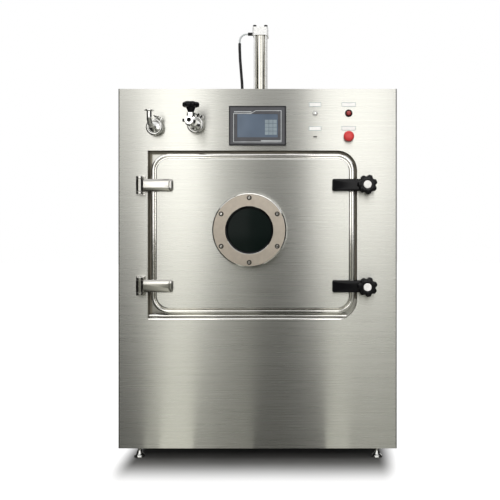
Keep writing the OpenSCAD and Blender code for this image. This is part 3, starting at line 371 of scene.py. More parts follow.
# %% Brushed sheet
STAINLESS = (0.625, 0.624, 0.588)


def brushed_metal(name, roughness, stroke, lines):
    """Sheet brushed along one direction. stroke squeezes the noise across the brush lines."""
    def recipe(tree):
        hairs = noise_on(tree, 1.0, stroke, 4.0, 0.62)
        streaks = noise_on(tree, 1.0, [s * 0.16 for s in stroke], 3.0, 0.5)
        mix = add(tree, "ShaderNodeMix", {0: 0.25, 2: hairs, 3: streaks})
        across = add(tree, "ShaderNodeVectorTransform", {0: [1.0 if s > 100 else 0.0 for s in stroke]},
                     vector_type="VECTOR", convert_from="OBJECT", convert_to="WORLD")
        return {"Base Color": two_tone(tree, mix, 0.34, *shades(STAINLESS, lines)),
                "Roughness": spread(tree, hairs, roughness - 0.03, roughness + 0.04),
                "Metallic": 1.0, "Anisotropic": 0.95, "Tangent": across,
                "Normal": bump(tree, hairs, 0.03 * MM, 0.35)}
    return finish(name, recipe)


sheet_metal = brushed_metal("brushed_sheet", 0.28, (3.0, 3.0, 1000.0), 0.06)
roof_metal = brushed_metal("brushed_roof", 0.29, (3.0, 1000.0, 3.0), 0.06)
door_metal = brushed_metal("brushed_door", 0.28, (3.0, 3.0, 950.0), 0.07)
print("brushed:", sheet_metal.name, roof_metal.name, door_metal.name)

# %% [markdown]
# Turned, cast and polished parts have no visible strokes. Their colour and roughness still drift a
# little over the surface, from handling and polishing, so a soft cloud moves both by a few
# hundredths. The larger the part, the larger its cloud. A lower roughness gives harder highlights.

# %% Polished, turned and satin metal
def smooth_metal(name, colour, roughness, grain=60.0, variation=0.05):
    def recipe(tree):
        cloud = noise_on(tree, grain, detail=4.0)
        return {"Base Color": two_tone(tree, cloud, 0.35, *shades(colour, variation)),
                "Roughness": spread(tree, cloud, roughness * 0.93, roughness * 1.08), "Metallic": 1.0}
    return finish(name, recipe)


rim_metal = smooth_metal("door_rim_metal", (0.82, 0.81, 0.78), 0.12, 4.0, 0.02)
inner_metal = smooth_metal("chamber_metal", (0.60, 0.59, 0.55), 0.30, 5.0, 0.03)
hinge_metal = smooth_metal("polished_hinge", (0.50, 0.49, 0.46), 0.12, 12.0, 0.03)
cast_metal = smooth_metal("polished_casting", (0.66, 0.65, 0.62), 0.15, 45.0)
turned_metal = smooth_metal("turned_metal", (0.66, 0.66, 0.64), 0.10, 80.0)
tube_metal = smooth_metal("process_tube", (0.82, 0.82, 0.80), 0.12, 20.0, 0.02)
flange_metal = smooth_metal("satin_flange", (0.55, 0.49, 0.42), 0.42)
barrel_metal = smooth_metal("cylinder_barrel", (0.66, 0.645, 0.59), 0.10, 30.0, 0.03)
rod_metal = smooth_metal("tie_rod_metal", (0.88, 0.88, 0.87), 0.30, 60.0, 0.03)
cap_metal = smooth_metal("cylinder_cap_metal", (0.90, 0.90, 0.89), 0.45, 40.0, 0.03)
nut_metal = smooth_metal("dark_steel", (0.10, 0.10, 0.11), 0.35, 200.0)
satin_metal = smooth_metal("satin_metal", (0.58, 0.57, 0.53), 0.40, 20.0, 0.03)
fin_metal = smooth_metal("fin_metal", (0.62, 0.63, 0.64), 0.35, 150.0)
print(len(bpy.data.materials), "finishes so far")

# %% [markdown]
# Mouldings, paint and rubber are told apart by three things: how dark they are, how sharp their
# shine is, and how fine their skin. A small bump gives the moulded grain, and black plastic gets
# less specular, because at full strength it would mirror the studio and look grey.

# %% Plastic, paint and rubber
def plastic(name, colour, roughness, shine=0.5, grain=900.0):
    def recipe(tree):
        skin = noise_on(tree, grain, detail=2.0)
        cloud = noise_on(tree, 35.0)
        return {"Base Color": two_tone(tree, cloud, 0.3, *shades(colour, 0.12)),
                "Roughness": spread(tree, cloud, roughness * 0.88, roughness * 1.12),
                "Specular IOR Level": shine, "Normal": bump(tree, skin, 0.02 * MM, 0.5)}
    return finish(name, recipe)


clamp_black = plastic("clamp_black", (0.005, 0.005, 0.006), 0.13, 0.15)
knob_black = plastic("knob_black", (0.005, 0.005, 0.006), 0.12, 0.22)
white_cap = plastic("white_cap", (0.92, 0.92, 0.90), 0.35)
fitting_black = plastic("fitting_black", (0.012, 0.012, 0.013), 0.42, 0.25)
# Painted shade: dark strips that stand for the shaded slot at the front panel's side edges
seam_shade = plastic("seam_sealant", (0.035, 0.034, 0.030), 0.6, 0.2)
# Painted shade: a grey-brown strip stands for the shade that falls into the gap round the door
gap_sealant = plastic("gap_sealant", (0.255, 0.235, 0.190), 0.6, 0.2)
# Painted shadow: a dark ring round each screw head of the sight flange
screw_shadow_paint = plastic("screw_washer", (0.03, 0.028, 0.024), 0.5, 0.2)
rubber = plastic("gasket_rubber", (0.03, 0.03, 0.03), 0.6)
bezel_grey = plastic("bezel_grey", (0.072, 0.074, 0.083), 0.42, 0.3)
frame_dark = plastic("bezel_edge", (0.016, 0.016, 0.018), 0.4, 0.2)
line_grey = plastic("bezel_line_grey", (0.50, 0.53, 0.55), 0.4)
key_light = plastic("keypad_keys", (0.235, 0.29, 0.325), 0.35, 0.3)
label_white = plastic("label_white", (0.94, 0.94, 0.93), 0.45)
plate_line = plastic("plate_border", (0.24, 0.33, 0.33), 0.45)
stop_red = plastic("stop_red", (0.62, 0.048, 0.048), 0.28, 0.4)
lens_red = plastic("lamp_lens", (0.36, 0.045, 0.045), 0.14)
ring_red = plastic("lamp_ring", (0.018, 0.003, 0.003), 0.20, 0.3)
frame_paint = plastic("frame_paint", (0.20, 0.205, 0.21), 0.5, grain=500.0)
pump_paint = plastic("pump_paint", (0.05, 0.13, 0.25), 0.4, grain=400.0)
machine_paint = plastic("machine_paint", (0.02, 0.02, 0.024), 0.35, grain=400.0)
print(len(bpy.data.materials), "finishes so far")

# %% [markdown]
# The sight glass, the display and the air hose are clear or coated. Real refraction isn't needed:
# behind the sight glass the chamber is dark, and a display that is on lights itself evenly. So each
# is an opaque, nearly even colour under a clear coat, which gives the glassy highlight quickly.

# %% Glass, display and hose
def glassy(name, colour, roughness, coat):
    def recipe(tree):
        return {"Base Color": two_tone(tree, noise_on(tree, 9.0, detail=2.0), 0.3, *shades(colour, 0.12)),
                "Roughness": roughness, "Specular IOR Level": 0.2 + 0.3 * coat,
                "Coat Weight": coat, "Coat Roughness": 0.03}
    return finish(name, recipe)


dark_glass = glassy("dark_sight_glass", (0.004, 0.008, 0.007), 0.08, 0.0)
display_glass = glassy("display_glass", (0.105, 0.140, 0.195), 0.12, 0.4)
hose_plastic = glassy("hose_clear", (0.50, 0.53, 0.55), 0.25, 0.3)
print(len(bpy.data.materials), "finishes in all")

# %% [markdown]
# The air hose comes out of the push-in fitting on the ram's upper cap, bends down and slips into a
# black sleeve that ends in the gland on the roof. Its route repeats the points that the solid was
# swept along, measured from the middle of the cap's left face. A curve object would do too, but a
# loft along the route keeps the tube's rings upright and needs no conversion.

# %% Route of the air hose
HOSE = [(-22, 0, 0), (-26, 0, 0), (-34.3, 0, -1.1), (-42, 0, -4.3), (-48.6, 0, -9.4),
        (-53.7, 0, -16), (-56.9, 0, -23.7), (-58, 0, -32), (-58, 0, -40)]
SLEEVE = [(-58, 0, -40), (-58, 0, -60), (-57, 0, -85), (-56, 0, -110), (-54, 0, -135), (-52, 0, -160),
          (-50, 0, -185), (-48, 0, -210), (-47, 0, -235), (-46, 0, -260), (-46, 0, -280)]
HOSE_D, SLEEVE_D = 8 * MM, 12 * MM
cap_lo, cap_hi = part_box("cylinder_caps")
HOSE_FROM = Vector((cap_lo.x, middle("cylinder_caps").y, middle("air_fitting").z))


def finer(points, steps=4):
    """More points on a Catmull-Rom curve through a route, given from the cap's left face."""
    path = [HOSE_FROM + Vector(p) * MM for p in points]
    fine = []
    for i in range(len(path) - 1):
        a, b, c, d = path[max(i - 1, 0)], path[i], path[i + 1], path[min(i + 2, len(path) - 1)]
        for k in range(steps):
            t = k / steps
            fine.append(0.5 * ((2 * b) + (c - a) * t + (2 * a - 5 * b + 4 * c - d) * t * t
                               + (3 * b - a - 3 * c + d) * t * t * t))
    return fine + [path[-1]]


hose_path = finer(HOSE + SLEEVE[1:])
hose_length = sum((b - a).length for a, b in zip(hose_path, hose_path[1:]))
print("air hose", round(hose_length, 3), "m")

# %% Air hose and its sleeve
def tube_along(name, path, d, sides=16):
    """Rings across a path that stays in one plane."""
    rings = []
    across = Vector((0, 1, 0))
    for i, p in enumerate(path):
        ahead = (path[min(i + 1, len(path) - 1)] - path[max(i - 1, 0)]).normalized()
        up = across.cross(ahead)
        rings.append([p + (up * cos(2 * pi * k / sides) + across * sin(2 * pi * k / sides)) * d / 2
                      for k in range(sides)])
    return loft(name, rings, cap_first=True, cap_last=True)


hose = fit(tube_along("air_hose_tube", hose_path, HOSE_D), "air_hose", hose_plastic, 35)
sleeve = fit(tube_along("hose_sleeve_tube", finer(SLEEVE), SLEEVE_D), "hose_sleeve", fitting_black, 35)
tuple(hose_path[0])
[tuple(p) for p in finer(HOSE + SLEEVE[1:], 2)]
print("hose and sleeve,", len(hose.data.polygons) + len(sleeve.data.polygons), "faces")

# %% [markdown]
# The studio. A product like this is shown on a white sweep, whose floor runs into the
# background. The world is plain white wherever the camera, a metal or a glass looks at it, and a
# soft grey as a light, so that colours render about as they are written.

# %% World
AMBIENT = 0.34
world = bpy.data.worlds.new("studio")
bpy.context.scene.world = world
tree = empty_tree(world)
rays = add(tree, "ShaderNodeLightPath").outputs
looks = rays["Is Camera Ray"]
for ray in ("Is Glossy Ray", "Is Transmission Ray"):
    looks = add(tree, "ShaderNodeMath", {0: looks, 1: rays[ray]}, operation="MAXIMUM")
room = add(tree, "ShaderNodeBackground", {"Color": (1.0, 0.99, 0.97, 1), "Strength": AMBIENT})
seen = add(tree, "ShaderNodeBackground", {"Color": (1, 1, 1, 1)})
mix = add(tree, "ShaderNodeMixShader", {"Fac": looks, 1: room, 2: seen})
add(tree, "ShaderNodeOutputWorld", {"Surface": mix})
print("ambient light", AMBIENT)

# %% [markdown]
# The floor is matt, and only near the feet does its shadow count. Farther out it has to fade into
# the white. A lamp on the floor would do that but would also light the cabinet from below, so the
# floor itself glows, for the camera only, more the farther a spot is from the cabinet's foot. That
# glow is painted light, and its ramp paints the soft outer edge of the cabinet's shadow.

# %% Pale floor
FLOOR_REACH = 14.0
FOOT = (CAD_BOX[1].x - 0.075, -PANEL_Y + 0.02, 1.0)
SHADOW_EDGE_WIDTH = 0.28
material = bpy.data.materials.new("pale_floor")
tree = empty_tree(material)
matt = add(tree, "ShaderNodeBsdfDiffuse", {
    "Color": two_tone(tree, noise_on(tree, 3.0), 0.3, (0.25, 0.25, 0.25), (0.28, 0.28, 0.28))})
spot = add(tree, "ShaderNodeTexCoord").outputs["Object"]
for operation, other in (("ABSOLUTE", None), ("SUBTRACT", FOOT), ("MAXIMUM", (0, 0, 0)),
                         ("MULTIPLY", (3.2, 1.0, 1.0))):
    spot = add(tree, "ShaderNodeVectorMath", {0: spot, 1: other} if other else {0: spot},
               operation=operation)
away = add(tree, "ShaderNodeVectorMath", {0: spot}, operation="LENGTH").outputs["Value"]
# Painted shadow: no glow at the cabinet's foot, rising to full glow at the shadow's painted edge
fade = add(tree, "ShaderNodeMapRange", {"Value": away, "From Max": SHADOW_EDGE_WIDTH},
           interpolation_type="SMOOTHSTEP")
painted_shadow_edge = add(tree, "ShaderNodeMath", {0: add(tree, "ShaderNodeLightPath").outputs["Is Camera Ray"],
                                    1: fade}, operation="MULTIPLY")
glow = add(tree, "ShaderNodeEmission", {"Color": (1, 1, 1, 1), "Strength": painted_shadow_edge})
add(tree, "ShaderNodeOutputMaterial", {"Surface": add(tree, "ShaderNodeAddShader", {0: matt, 1: glow})})
FLOOR = new_piece("floor", sheet("floor", [[(-FLOOR_REACH, y, 0), (FLOOR_REACH, y, 0)]
                                           for y in (-FLOOR_REACH, FLOOR_REACH)]))
FLOOR.data.materials.append(material)
print("floor", 2 * FLOOR_REACH, "m wide, white from", SHADOW_EDGE_WIDTH, "m beyond the cabinet's foot")

# %% [markdown]
# Steel is only as bright as what it mirrors. Two tall softboxes in front, at the left and the right,
# give the panel its two bright bands, and a large one overhead lights the roof and the floor. The
# fill in front is there for the plastics: the metals don't see it, and light linking keeps it off
# the floor, whose shadow it would wash out.

# %% Softboxes
WALL_Y = -3.6


def softbox(name, place, look_at, width, height, radiance):
    """A soft area light whose surface is as bright as the given radiance."""
    data = bpy.data.lights.new(name, "AREA")
    data.shape = "RECTANGLE"
    data.size, data.size_y = width, height
    data.energy = radiance * width * height * pi
    data.color = (1, 0.98, 0.94)
    light = new_piece(name, data)
    light.location = place
    light.rotation_euler = (Vector(look_at) - Vector(place)).to_track_quat("-Z", "Y").to_euler()
    light.visible_camera = False
    print(name, width, "by", height, "m")
    return light


softbox("left_box", (-0.97, WALL_Y, 1.8), (-0.97, 0, 1.8), 0.56, 2.0, 1.62)
softbox("right_box", (0.52, WALL_Y, 1.8), (0.52, 0, 1.8), 0.76, 2.0, 1.42)
softbox("overhead", (0, 0.3, 3.6), (0, 0.3, 0.5), 3.4, 2.0, 2.2)
fill = softbox("front_fill", (0.2, -4.6, 1.9), (0, -0.4, 0.8), 3.2, 2.4, 5.5)
fill.visible_glossy = False
shaded = bpy.data.collections.new("kept_off_the_floor")
shaded.objects.link(FLOOR)
shaded.collection_objects[0].light_linking.link_state = "EXCLUDE"
fill.light_linking.receiver_collection = shaded

# %% [markdown]
# In a studio, black cards stand beside polished metal to give it dark bands. A brushed panel blurs
# what it mirrors along its height, so its look is a row of upright bands: cards of several greys
# stand between the boxes, and more lie on the floor for the panel's darker lower half. Cards that
# only reflections can see do this without shading anything else.

# %% One card
def grey_card(name, rows, grey, top=None, tint=(1.0, 0.99, 0.95)):
    """A card that only reflections show. With a top, its grey rises towards that at 2.3 m."""
    material = bpy.data.materials.new(name)
    tree = empty_tree(material)
    split = add(tree, "ShaderNodeSeparateXYZ", {0: add(tree, "ShaderNodeTexCoord").outputs["Object"]})
    rise = add(tree, "ShaderNodeMapRange", {
        "Value": split.outputs["Z"], "From Min": 0.9, "From Max": 2.3,
        "To Min": grey * 1.05, "To Max": (top or grey) * 1.05})
    glow = add(tree, "ShaderNodeEmission", {
        "Color": two_tone(tree, noise_on(tree, 1.5), 0.3, [0.9 * c for c in tint], tint),
        "Strength": rise})
    add(tree, "ShaderNodeOutputMaterial", {"Surface": glow})
    card = new_piece(name, sheet(name, rows))
    card.data.materials.append(material)
    card.visible_camera = card.visible_diffuse = card.visible_shadow = False
    card.visible_transmission = False


# A black card on each side gives polished edges their dark lines
CARD_FOOT = 0.004
for name, x in (("side_card_left", -2.7), ("side_card_right", 2.9)):
    grey_card(name, [[(x, y, z) for y in (WALL_Y, 1.6)] for z in (CARD_FOOT, 2.6)], 0.02)
print("black cards at both sides")

# %% Cards behind the camera and on the floor
# Left and right end of each wall card, and its grey below and above
WALL_CARDS = [(-3.0, -1.38, 0.30, 1.45), (-1.38, -1.25, 0.62, 1.50), (-0.69, -0.37, 0.74, 0.86),
              (-0.37, 0.14, 0.20, 0.37)]
for n, (x0, x1, grey, top) in enumerate(WALL_CARDS):
    grey_card("wall_card_%d" % n, upright(x0, x1, WALL_Y, 0.8, 2.8), grey, top)

# The bands on the floor and at the wall's foot, by where they show on the panel
FLOOR_CARDS = [(-1.2, -0.44, 0.05), (-0.44, -0.38, 0.34), (-0.38, -0.25, 0.76), (-0.25, -0.17, 0.28),
               (-0.17, -0.02, 0.23), (-0.02, 0.26, 0.06), (0.26, 0.35, 0.54), (0.35, 1.2, 0.34)]
FLOOR_TINT = (1.0, 1.0, 0.88)
near = PANEL_Y - 0.02
far_times = (near - WALL_Y) / (PANEL_Y - EYE.y)
for n, (x0, x1, grey) in enumerate(FLOOR_CARDS):
    # A line of sight to x on the panel goes on to this place on the wall
    a, b = (x + far_times * (x - EYE.x) for x in (x0, x1))
    lying = [[(a, WALL_Y, CARD_FOOT), (b, WALL_Y, CARD_FOOT)],
             [(x0, near, CARD_FOOT), (x1, near, CARD_FOOT)]]
    grey_card("floor_card_%d" % n, lying, grey, tint=FLOOR_TINT)
    grey_card("foot_card_%d" % n, upright(a, b, WALL_Y, CARD_FOOT, 0.8), grey, tint=FLOOR_TINT)
print(len(WALL_CARDS) + 2 * len(FLOOR_CARDS), "grey cards")

# %% [markdown]
# The cabinet is folded stainless sheet. The front panel's long edges are bent, not cut, so they
# carry a small radius. At both sides the slot where the side panels meet the fold lies in shade.
# That shade is painted: a thin dark strip is laid on the panel, because a real slot would need
# the solid cut again.

# %% Cabinet
SEAM = 3.6 * MM
dress("front_panel", sheet_metal, 0.9 * MM)
lo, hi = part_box("front_panel")
# A dark strip at each side edge paints the shade in the slot between the panels
for side, x in (("left", lo.x), ("right", hi.x - SEAM)):
    fit(sheet("edge_seam_" + side, upright(x, x + SEAM, PANEL_Y - 0.1 * MM, lo.z, hi.z)),
        "front_panel", seam_shade, replace=False)
dress("clamp_bosses", turned_metal)
dress("levelling_feet", turned_metal, 0.4 * MM)
finish_only(sheet_metal, "side_panels", "rear_panel")
finish_only(roof_metal, "roof_panel")
finish_only(frame_paint, "base_frame", "corner_posts", "frame_rails")

# %% [markdown]
# The door skin is one pressing with a rolled rim. Going in from its outer edge, the section rises
# over a broad polished bead, drops into a narrow groove, and bends up again to the raised face.
# Each point of that section becomes one rounded outline of a loft, so bead and groove run round all
# four corners alike, which a bevel or a displacement map could not keep so even.

# %% Section of the door's rim
RIM_R = 64 * MM
CORNER_STEPS = 14
# Distance in from the door's outer edge, and depth behind the panel's face, in millimetres
RIM_SECTION = [(0, 1.6), (0.3, 0.0), (1.2, -1.2), (2.8, -2.2), (5.0, -2.8), (7.5, -3.0), (10.0, -2.6),
               (11.6, -1.6), (12.6, 0.2), (13.3, 2.6), (14.2, 4.4), (15.4, 4.4), (16.2, 2.6), (17.2, -1.5),
               (18.4, -5.0), (19.4, -6.8), (20.8, -7.8), (22.5, -8.0)]
DOOR = middle("door_skin")
door_size = door_hi - door_lo


def door_ring(inset, y):
    """The door's outline, moved in by an inset."""
    w, h = door_size.x - 2 * inset, door_size.z - 2 * inset
    return rounded_outline(DOOR.x, DOOR.z, w, h, RIM_R - 0.8 * inset, y, CORNER_STEPS)


rim_rings = [door_ring(inset * MM, PANEL_Y + depth * MM) for inset, depth in RIM_SECTION]
print("door", round(door_size.x, 3), "by", round(door_size.z, 3), "m,", len(rim_rings), "outlines")

# %% [markdown]
# Rim and face are two pieces, because they have two finishes: the rim is buffed bright after the
# pressing, while the face keeps its brushed strokes. The face is a loft of one band, from the rim's
# last outline to a round hole under the sight flange, so nothing has to be cut out of it.

# %% Door skin
SIGHT = on_plane("sight_flange", FACE_Y)
fit(loft("door_rim", [door_ring(0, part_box("door_liner")[0].y)] + rim_rings), "door_skin", rim_metal, 60)
HOLE_D = 250 * MM
hole = rounded_outline(SIGHT.x, SIGHT.z, HOLE_D, HOLE_D, HOLE_D / 2 - 0.5 * MM, FACE_Y, CORNER_STEPS)
fit(loft("door_face", [rim_rings[-1], hole]), "door_skin", door_metal, replace=False)
dress("door_liner", inner_metal)
finish_only(rubber, "door_gasket")

# %% [markdown]
# Behind the gap round the door, the panel's folded return meets the chamber's flange. The shade that
# falls into that gap along the top and both sides is painted there by a grey-brown strip, lighter
# than black. It is a strip that follows the opening: down the return's wall, then out over the flange.

# %% Painted shade in the gap
flange_y = min(v.co.y for v in frame["nodes"]["chamber_shell"].data.vertices)
OPEN_L, OPEN_R = door_lo.x - 14 * MM, door_hi.x + 10 * MM
OPEN_T, OPEN_B = door_hi.z + 12 * MM, door_lo.z - 25 * MM
OPEN_RADIUS = 76 * MM


def opening_path(inset_side, inset_top, y):
    """From the foot of the left side, up, along the top, round its right corner and down."""
    left, right, r = OPEN_L + inset_side, OPEN_R - inset_side, OPEN_RADIUS - inset_top
    return ([(left, y, OPEN_B), (left, y, OPEN_T - inset_top)]
            + arc(right - r, OPEN_T - inset_top - r, r, y, 90, 0, 16)
            + [(right, y, OPEN_B + OPEN_RADIUS)])


gap_shade_y = flange_y - 0.4 * MM
fit(sheet("gap_sealant", [opening_path(0.3 * MM, 0.3 * MM, PANEL_Y + 5 * MM),
                          opening_path(0.3 * MM, 0.3 * MM, gap_shade_y),
                          opening_path(8 * MM, 11 * MM, gap_shade_y)]),
    "front_panel", gap_sealant, replace=False)
print("flange", round((flange_y - PANEL_Y) / MM, 1), "mm behind the panel")

# %% [markdown]
# Under the door the opening has a sill instead: the sheet is folded twice, and each fold shows as a
# bright line. A strip that bulges by one millimetre between its two edges catches that line, where
# a flat strip would be bright all over or not at all.

# %% Two folds of the sill
def sill_strip(name, top, top_back, foot, foot_back):
    """Heights above the opening's lower edge and depths behind the panel, in millimetres."""
    rows = []
    for step in range(7):
        f = step / 6
        z = OPEN_B + top * MM + (foot - top) * f * MM
        y = PANEL_Y + (top_back + (foot_back - top_back) * f - 1.1 * sin(pi * f)) * MM
        rows.append([(OPEN_R - 40 * MM, y, z), (OPEN_L + 0.5 * MM, y, z)])
    fit(sheet(name, rows), "front_panel", rim_metal, 60, replace=False)
    print(name, round((top - foot) * MM, 4), "m tall")


sill_strip("door_sill_upper", 22.5, 17.0, 13.0, 10.5)
sill_strip("door_sill_lower", 8.0, 8.5, 0.4, 3.6)

# %% [markdown]
# The sight glass lies in a turned flange. A satin land carries the screws, its outer edge is turned
# to a small radius, and round the bore a thin bright lip holds the glass against a black seal. Each
# is one lathe with its own finish, because one piece here has one finish and the lines between
# them stay sharp that way.

# %% Sight flange
flange_lo, flange_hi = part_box("sight_flange")
# Radii and distances towards the viewer from the door's face, in millimetres
FLANGE_R, BORE_R, LIP_R = (flange_hi.x - flange_lo.x) / 2 / MM, 95, 89
PROUD, BACK = (FACE_Y - flange_lo.y) / MM, (FACE_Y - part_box("door_liner")[1].y) / MM
EDGE, LAND_R = 4.2, LIP_R + 1.8
fit(lathe("sight_flange_turned", [
    (BORE_R, BACK), (BORE_R, PROUD - 3.4), (BORE_R + 0.5, PROUD - 2.6), (BORE_R + 2.6, PROUD - 0.4),
    (BORE_R + 3.4, PROUD - 0.05), (FLANGE_R - EDGE - 0.8, PROUD - 0.05), (FLANGE_R - EDGE, PROUD - 0.4),
    (FLANGE_R - 0.5, PROUD - EDGE), (FLANGE_R, PROUD - EDGE - 0.8), (FLANGE_R, 0.0),
    (BORE_R + 8, 0.0), (BORE_R + 8, BACK), (BORE_R, BACK)], SIGHT, count=96),
    "sight_flange", turned_metal, 25)
fit(loft("sight_flange_face", [circle(SIGHT.x, SIGHT.z, r * MM, flange_lo.y, 96)
                               for r in (FLANGE_R - EDGE - 0.6, LAND_R)]),
    "sight_flange", flange_metal, replace=False)
print("flange", round(2 * FLANGE_R), "mm across, its bore", 2 * BORE_R, "mm")

# %% Lip, seal and glass
fit(lathe("glass_retainer", [
    (LAND_R, PROUD), (LIP_R + 0.6, PROUD - 0.7), (LIP_R, PROUD - 2.2), (LIP_R, PROUD - 12),
    (BORE_R - 0.2, PROUD - 12), (BORE_R - 0.2, PROUD - 1), (LAND_R, PROUD)], SIGHT, count=96),
    "sight_flange", turned_metal, 25, replace=False)
seal_front = PROUD - 6.5
fit(lathe("glass_seal", [
    (LIP_R - 0.1, seal_front), (LIP_R - 3.6, seal_front - 1.0), (LIP_R - 5.4, seal_front - 2.8),
    (LIP_R - 5.4, seal_front - 5), (LIP_R - 0.1, seal_front - 5), (LIP_R - 0.1, seal_front)],
    SIGHT, count=96), "sight_flange", knob_black, 50, replace=False)
finish_only(dark_glass, "sight_glass")

# %% [markdown]
# What repeats is made by Geometry Nodes. Copying an object by hand works too, but a tree keeps one
# pattern, one count and one radius, and changing them changes every copy. The tree ends in Realize
# Instances and Set Material, and the result is baked into a plain mesh before it is seated.

# %% Trees that repeat a piece
KINDS = {int: "Int", float: "Float", tuple: "Vector", bpy.types.Object: "Object"}


def grown(name, values, layout, material):
    """Makes a tree with one named input per value, runs it on an empty piece and bakes the mesh."""
    tree = bpy.data.node_groups.new(name, "GeometryNodeTree")
    for way in ("OUTPUT", "INPUT"):
        tree.interface.new_socket("Geometry", in_out=way, socket_type="NodeSocketGeometry")
    keys = {}
    for label, value in values.items():
        kind = "NodeSocket" + KINDS[type(value)]
        keys[label] = tree.interface.new_socket(label, in_out="INPUT", socket_type=kind).identifier
    geometry = layout(tree, add(tree, "NodeGroupInput").outputs)
    real = add(tree, "GeometryNodeRealizeInstances", {0: geometry})
    paint = add(tree, "GeometryNodeSetMaterial", {"Geometry": real, "Material": material})
    add(tree, "NodeGroupOutput", {0: paint})
    piece = new_piece(name, bpy.data.meshes.new(name))
    run = piece.modifiers.new("grow", "NODES")
    run.node_group = tree
    for label, value in values.items():
        run[keys[label]] = value
    bake_modifiers(piece)
    print(name, "from inputs", ", ".join(values))
    return piece


def pieces_on(tree, given, points, turn=(0, 0, 0)):
    """Puts the given Piece on every point, with the points moved to the given Centre."""
    place = add(tree, "GeometryNodeTransform", {"Geometry": points, "Rotation": turn,
                                                "Translation": given["Centre"]})
    piece = add(tree, "GeometryNodeObjectInfo", {0: given["Piece"]})
    return add(tree, "GeometryNodeInstanceOnPoints", {"Points": place, "Instance": piece.outputs["Geometry"]})


def repeated(name, pattern_mesh, values, layout, node, material, replace=False):
    """Makes a pattern, repeats it by a tree, removes the pattern and seats the result."""
    shade(pattern_mesh, 35)
    pattern = new_piece(pattern_mesh.name, pattern_mesh)
    piece = grown(name, {"Piece": pattern, **values}, layout, material)
    bpy.data.objects.remove(pattern)
    return seat(piece, node, material, replace)


# %% [markdown]
# Six screws hold the flange. Each has a low domed head with a hexagon socket. A dark ring under each
# head paints the shadow that the head casts round itself. The tree puts them on the points of a
# circle, and its input First turns that circle by 30 degrees, so that one screw stands at the top
# and one at the foot.

# %% Screws of the flange
SCREW_R = 7 * MM
screws_lo, screws_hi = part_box("sight_screws")
screw_h = FACE_Y - PROUD * MM - screws_lo.y
PITCH_R = (screws_hi.z - screws_lo.z) / 2 - SCREW_R


def hexagon(across, y, count):
    """A hexagon of many points, so that a loft can join it to a circle."""
    points = []
    for i in range(count):
        a = 2 * pi * i / count
        reach = across * cos(pi / 6) / cos(a % (pi / 3) - pi / 6)
        points.append((reach * cos(a), y, reach * sin(a)))
    return points


def ring_layout(tree, given):
    points = add(tree, "GeometryNodeMeshCircle", {"Vertices": given["Count"], "Radius": given["Radius"]})
    turn = add(tree, "ShaderNodeCombineXYZ", {"X": pi / 2, "Y": given["First"]})
    return pieces_on(tree, given, points, turn)


dome = [circle(0, 0, SCREW_R * r, -screw_h * h, 36)
        for r, h in ((0.82, 0.0), (0.82, 0.3), (0.78, 0.62), (0.68, 0.88), (0.58, 1))]
socket = [hexagon(4 * MM, -depth, 36) for depth in (screw_h, screw_h - 3.6 * MM)]
ring = {"Count": 6, "Radius": PITCH_R, "First": radians(30), "Centre": (SIGHT.x, flange_lo.y, SIGHT.z)}
repeated("sight_screw_heads", loft("screw_pattern", dome + socket, True, True), ring, ring_layout,
         "sight_screws", cast_metal, replace=True)
# A dark ring under each screw head paints the head's shadow
screw_shadow_ring = lathe("washer_pattern", [(5, 0.05), (5, 0.9), (8.8, 0.9), (9.3, 0.5), (9.3, 0.05), (5, 0.05)],
               Vector((0, 0, 0)), count=36)
repeated("sight_screw_washers", screw_shadow_ring, ring, ring_layout, "sight_screws", screw_shadow_paint)

# %% [markdown]
# The door hangs on two polished hinge straps. A real strap is cast and buffed, so it is crowned: a
# loft of ever smaller outlines that rise towards the middle catches one long soft highlight. Its
# free end has two rounded corners, and its knuckle, a lathe with a bore, turns about the hinge pin.

# %% Hinges
def box_of(points):
    return [Vector([pick(p[k] for p in points) for k in range(3)]) for pick in (min, max)]


def halves(node):
    """The side and box of the lower and the upper piece of a node that has one of each."""
    corners = [v.co for v in frame["nodes"][node].data.vertices]
    split = middle(node).z
    return [(side, *box_of([c for c in corners if (c.z > split) == (side == "upper")]))
            for side in ("lower", "upper")]


STRAP_CORNER = 11 * MM


def strap_outline(x0, x1, zc, half, inset, y):
    """A strap with two rounded corners at its free end, counter-clockwise from its lower corner."""
    half, r = half - inset, STRAP_CORNER - 0.45 * inset
    cx = x1 - inset - r
    return ([(x0, y, zc - half)] + arc(cx, zc - half + r, r, y, -90, 0, 8)
            + arc(cx, zc + half - r, r, y, 0, 90, 8) + [(x0, y, zc + half)])


KNUCKLE_R, PIN_BORE_R = 14, 5.1
# Inset of each outline of a strap, and its depth behind the strap's highest point
CROWN = [(0, 14), (0, 7.4), (0.6, 5.6), (2.0, 4.1), (4.4, 2.6), (7.6, 1.4), (11.0, 0.6), (14.5, 0.1)]
dress("hinge_brackets", cast_metal, 1.6 * MM, 3)
pin_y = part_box("hinge_brackets")[0].y + KNUCKLE_R * MM
for side, lo, hi in halves("hinge_arms"):
    axis_x, tall = lo.x + KNUCKLE_R * MM, (hi.z - lo.z) / MM
    outlines = [strap_outline(axis_x, hi.x, (lo.z + hi.z) / 2, (hi.z - lo.z) / 2, inset * MM,
                              FACE_Y + (deep - KNUCKLE_R) * MM) for inset, deep in CROWN]
    fit(loft("hinge_arm_" + side, outlines, True, True), "hinge_arms", hinge_metal, 50)
    fit(lathe("knuckle_" + side, [
        (PIN_BORE_R, 0), (12.6, 0), (KNUCKLE_R, 1.4), (KNUCKLE_R, tall - 1.4), (12.6, tall),
        (PIN_BORE_R, tall), (PIN_BORE_R, 0)], Vector((axis_x, pin_y, lo.z)), "Z", 40),
        "hinge_arms", hinge_metal, 40, replace=False)
    print(side, "strap", round(hi.x - lo.x, 3), "m long")

# %% [markdown]
# On the other side two moulded black arms carry the clamps' studs. Each is square on the door and
# round about its stud. The bore is lofted in with the body: the last outlines run from the front
# face back through the arm, which gives a clean round edge without a boolean.

# %% Clamp arms
STUD_BORE_R, ARM_CORNER = 6.2, 7


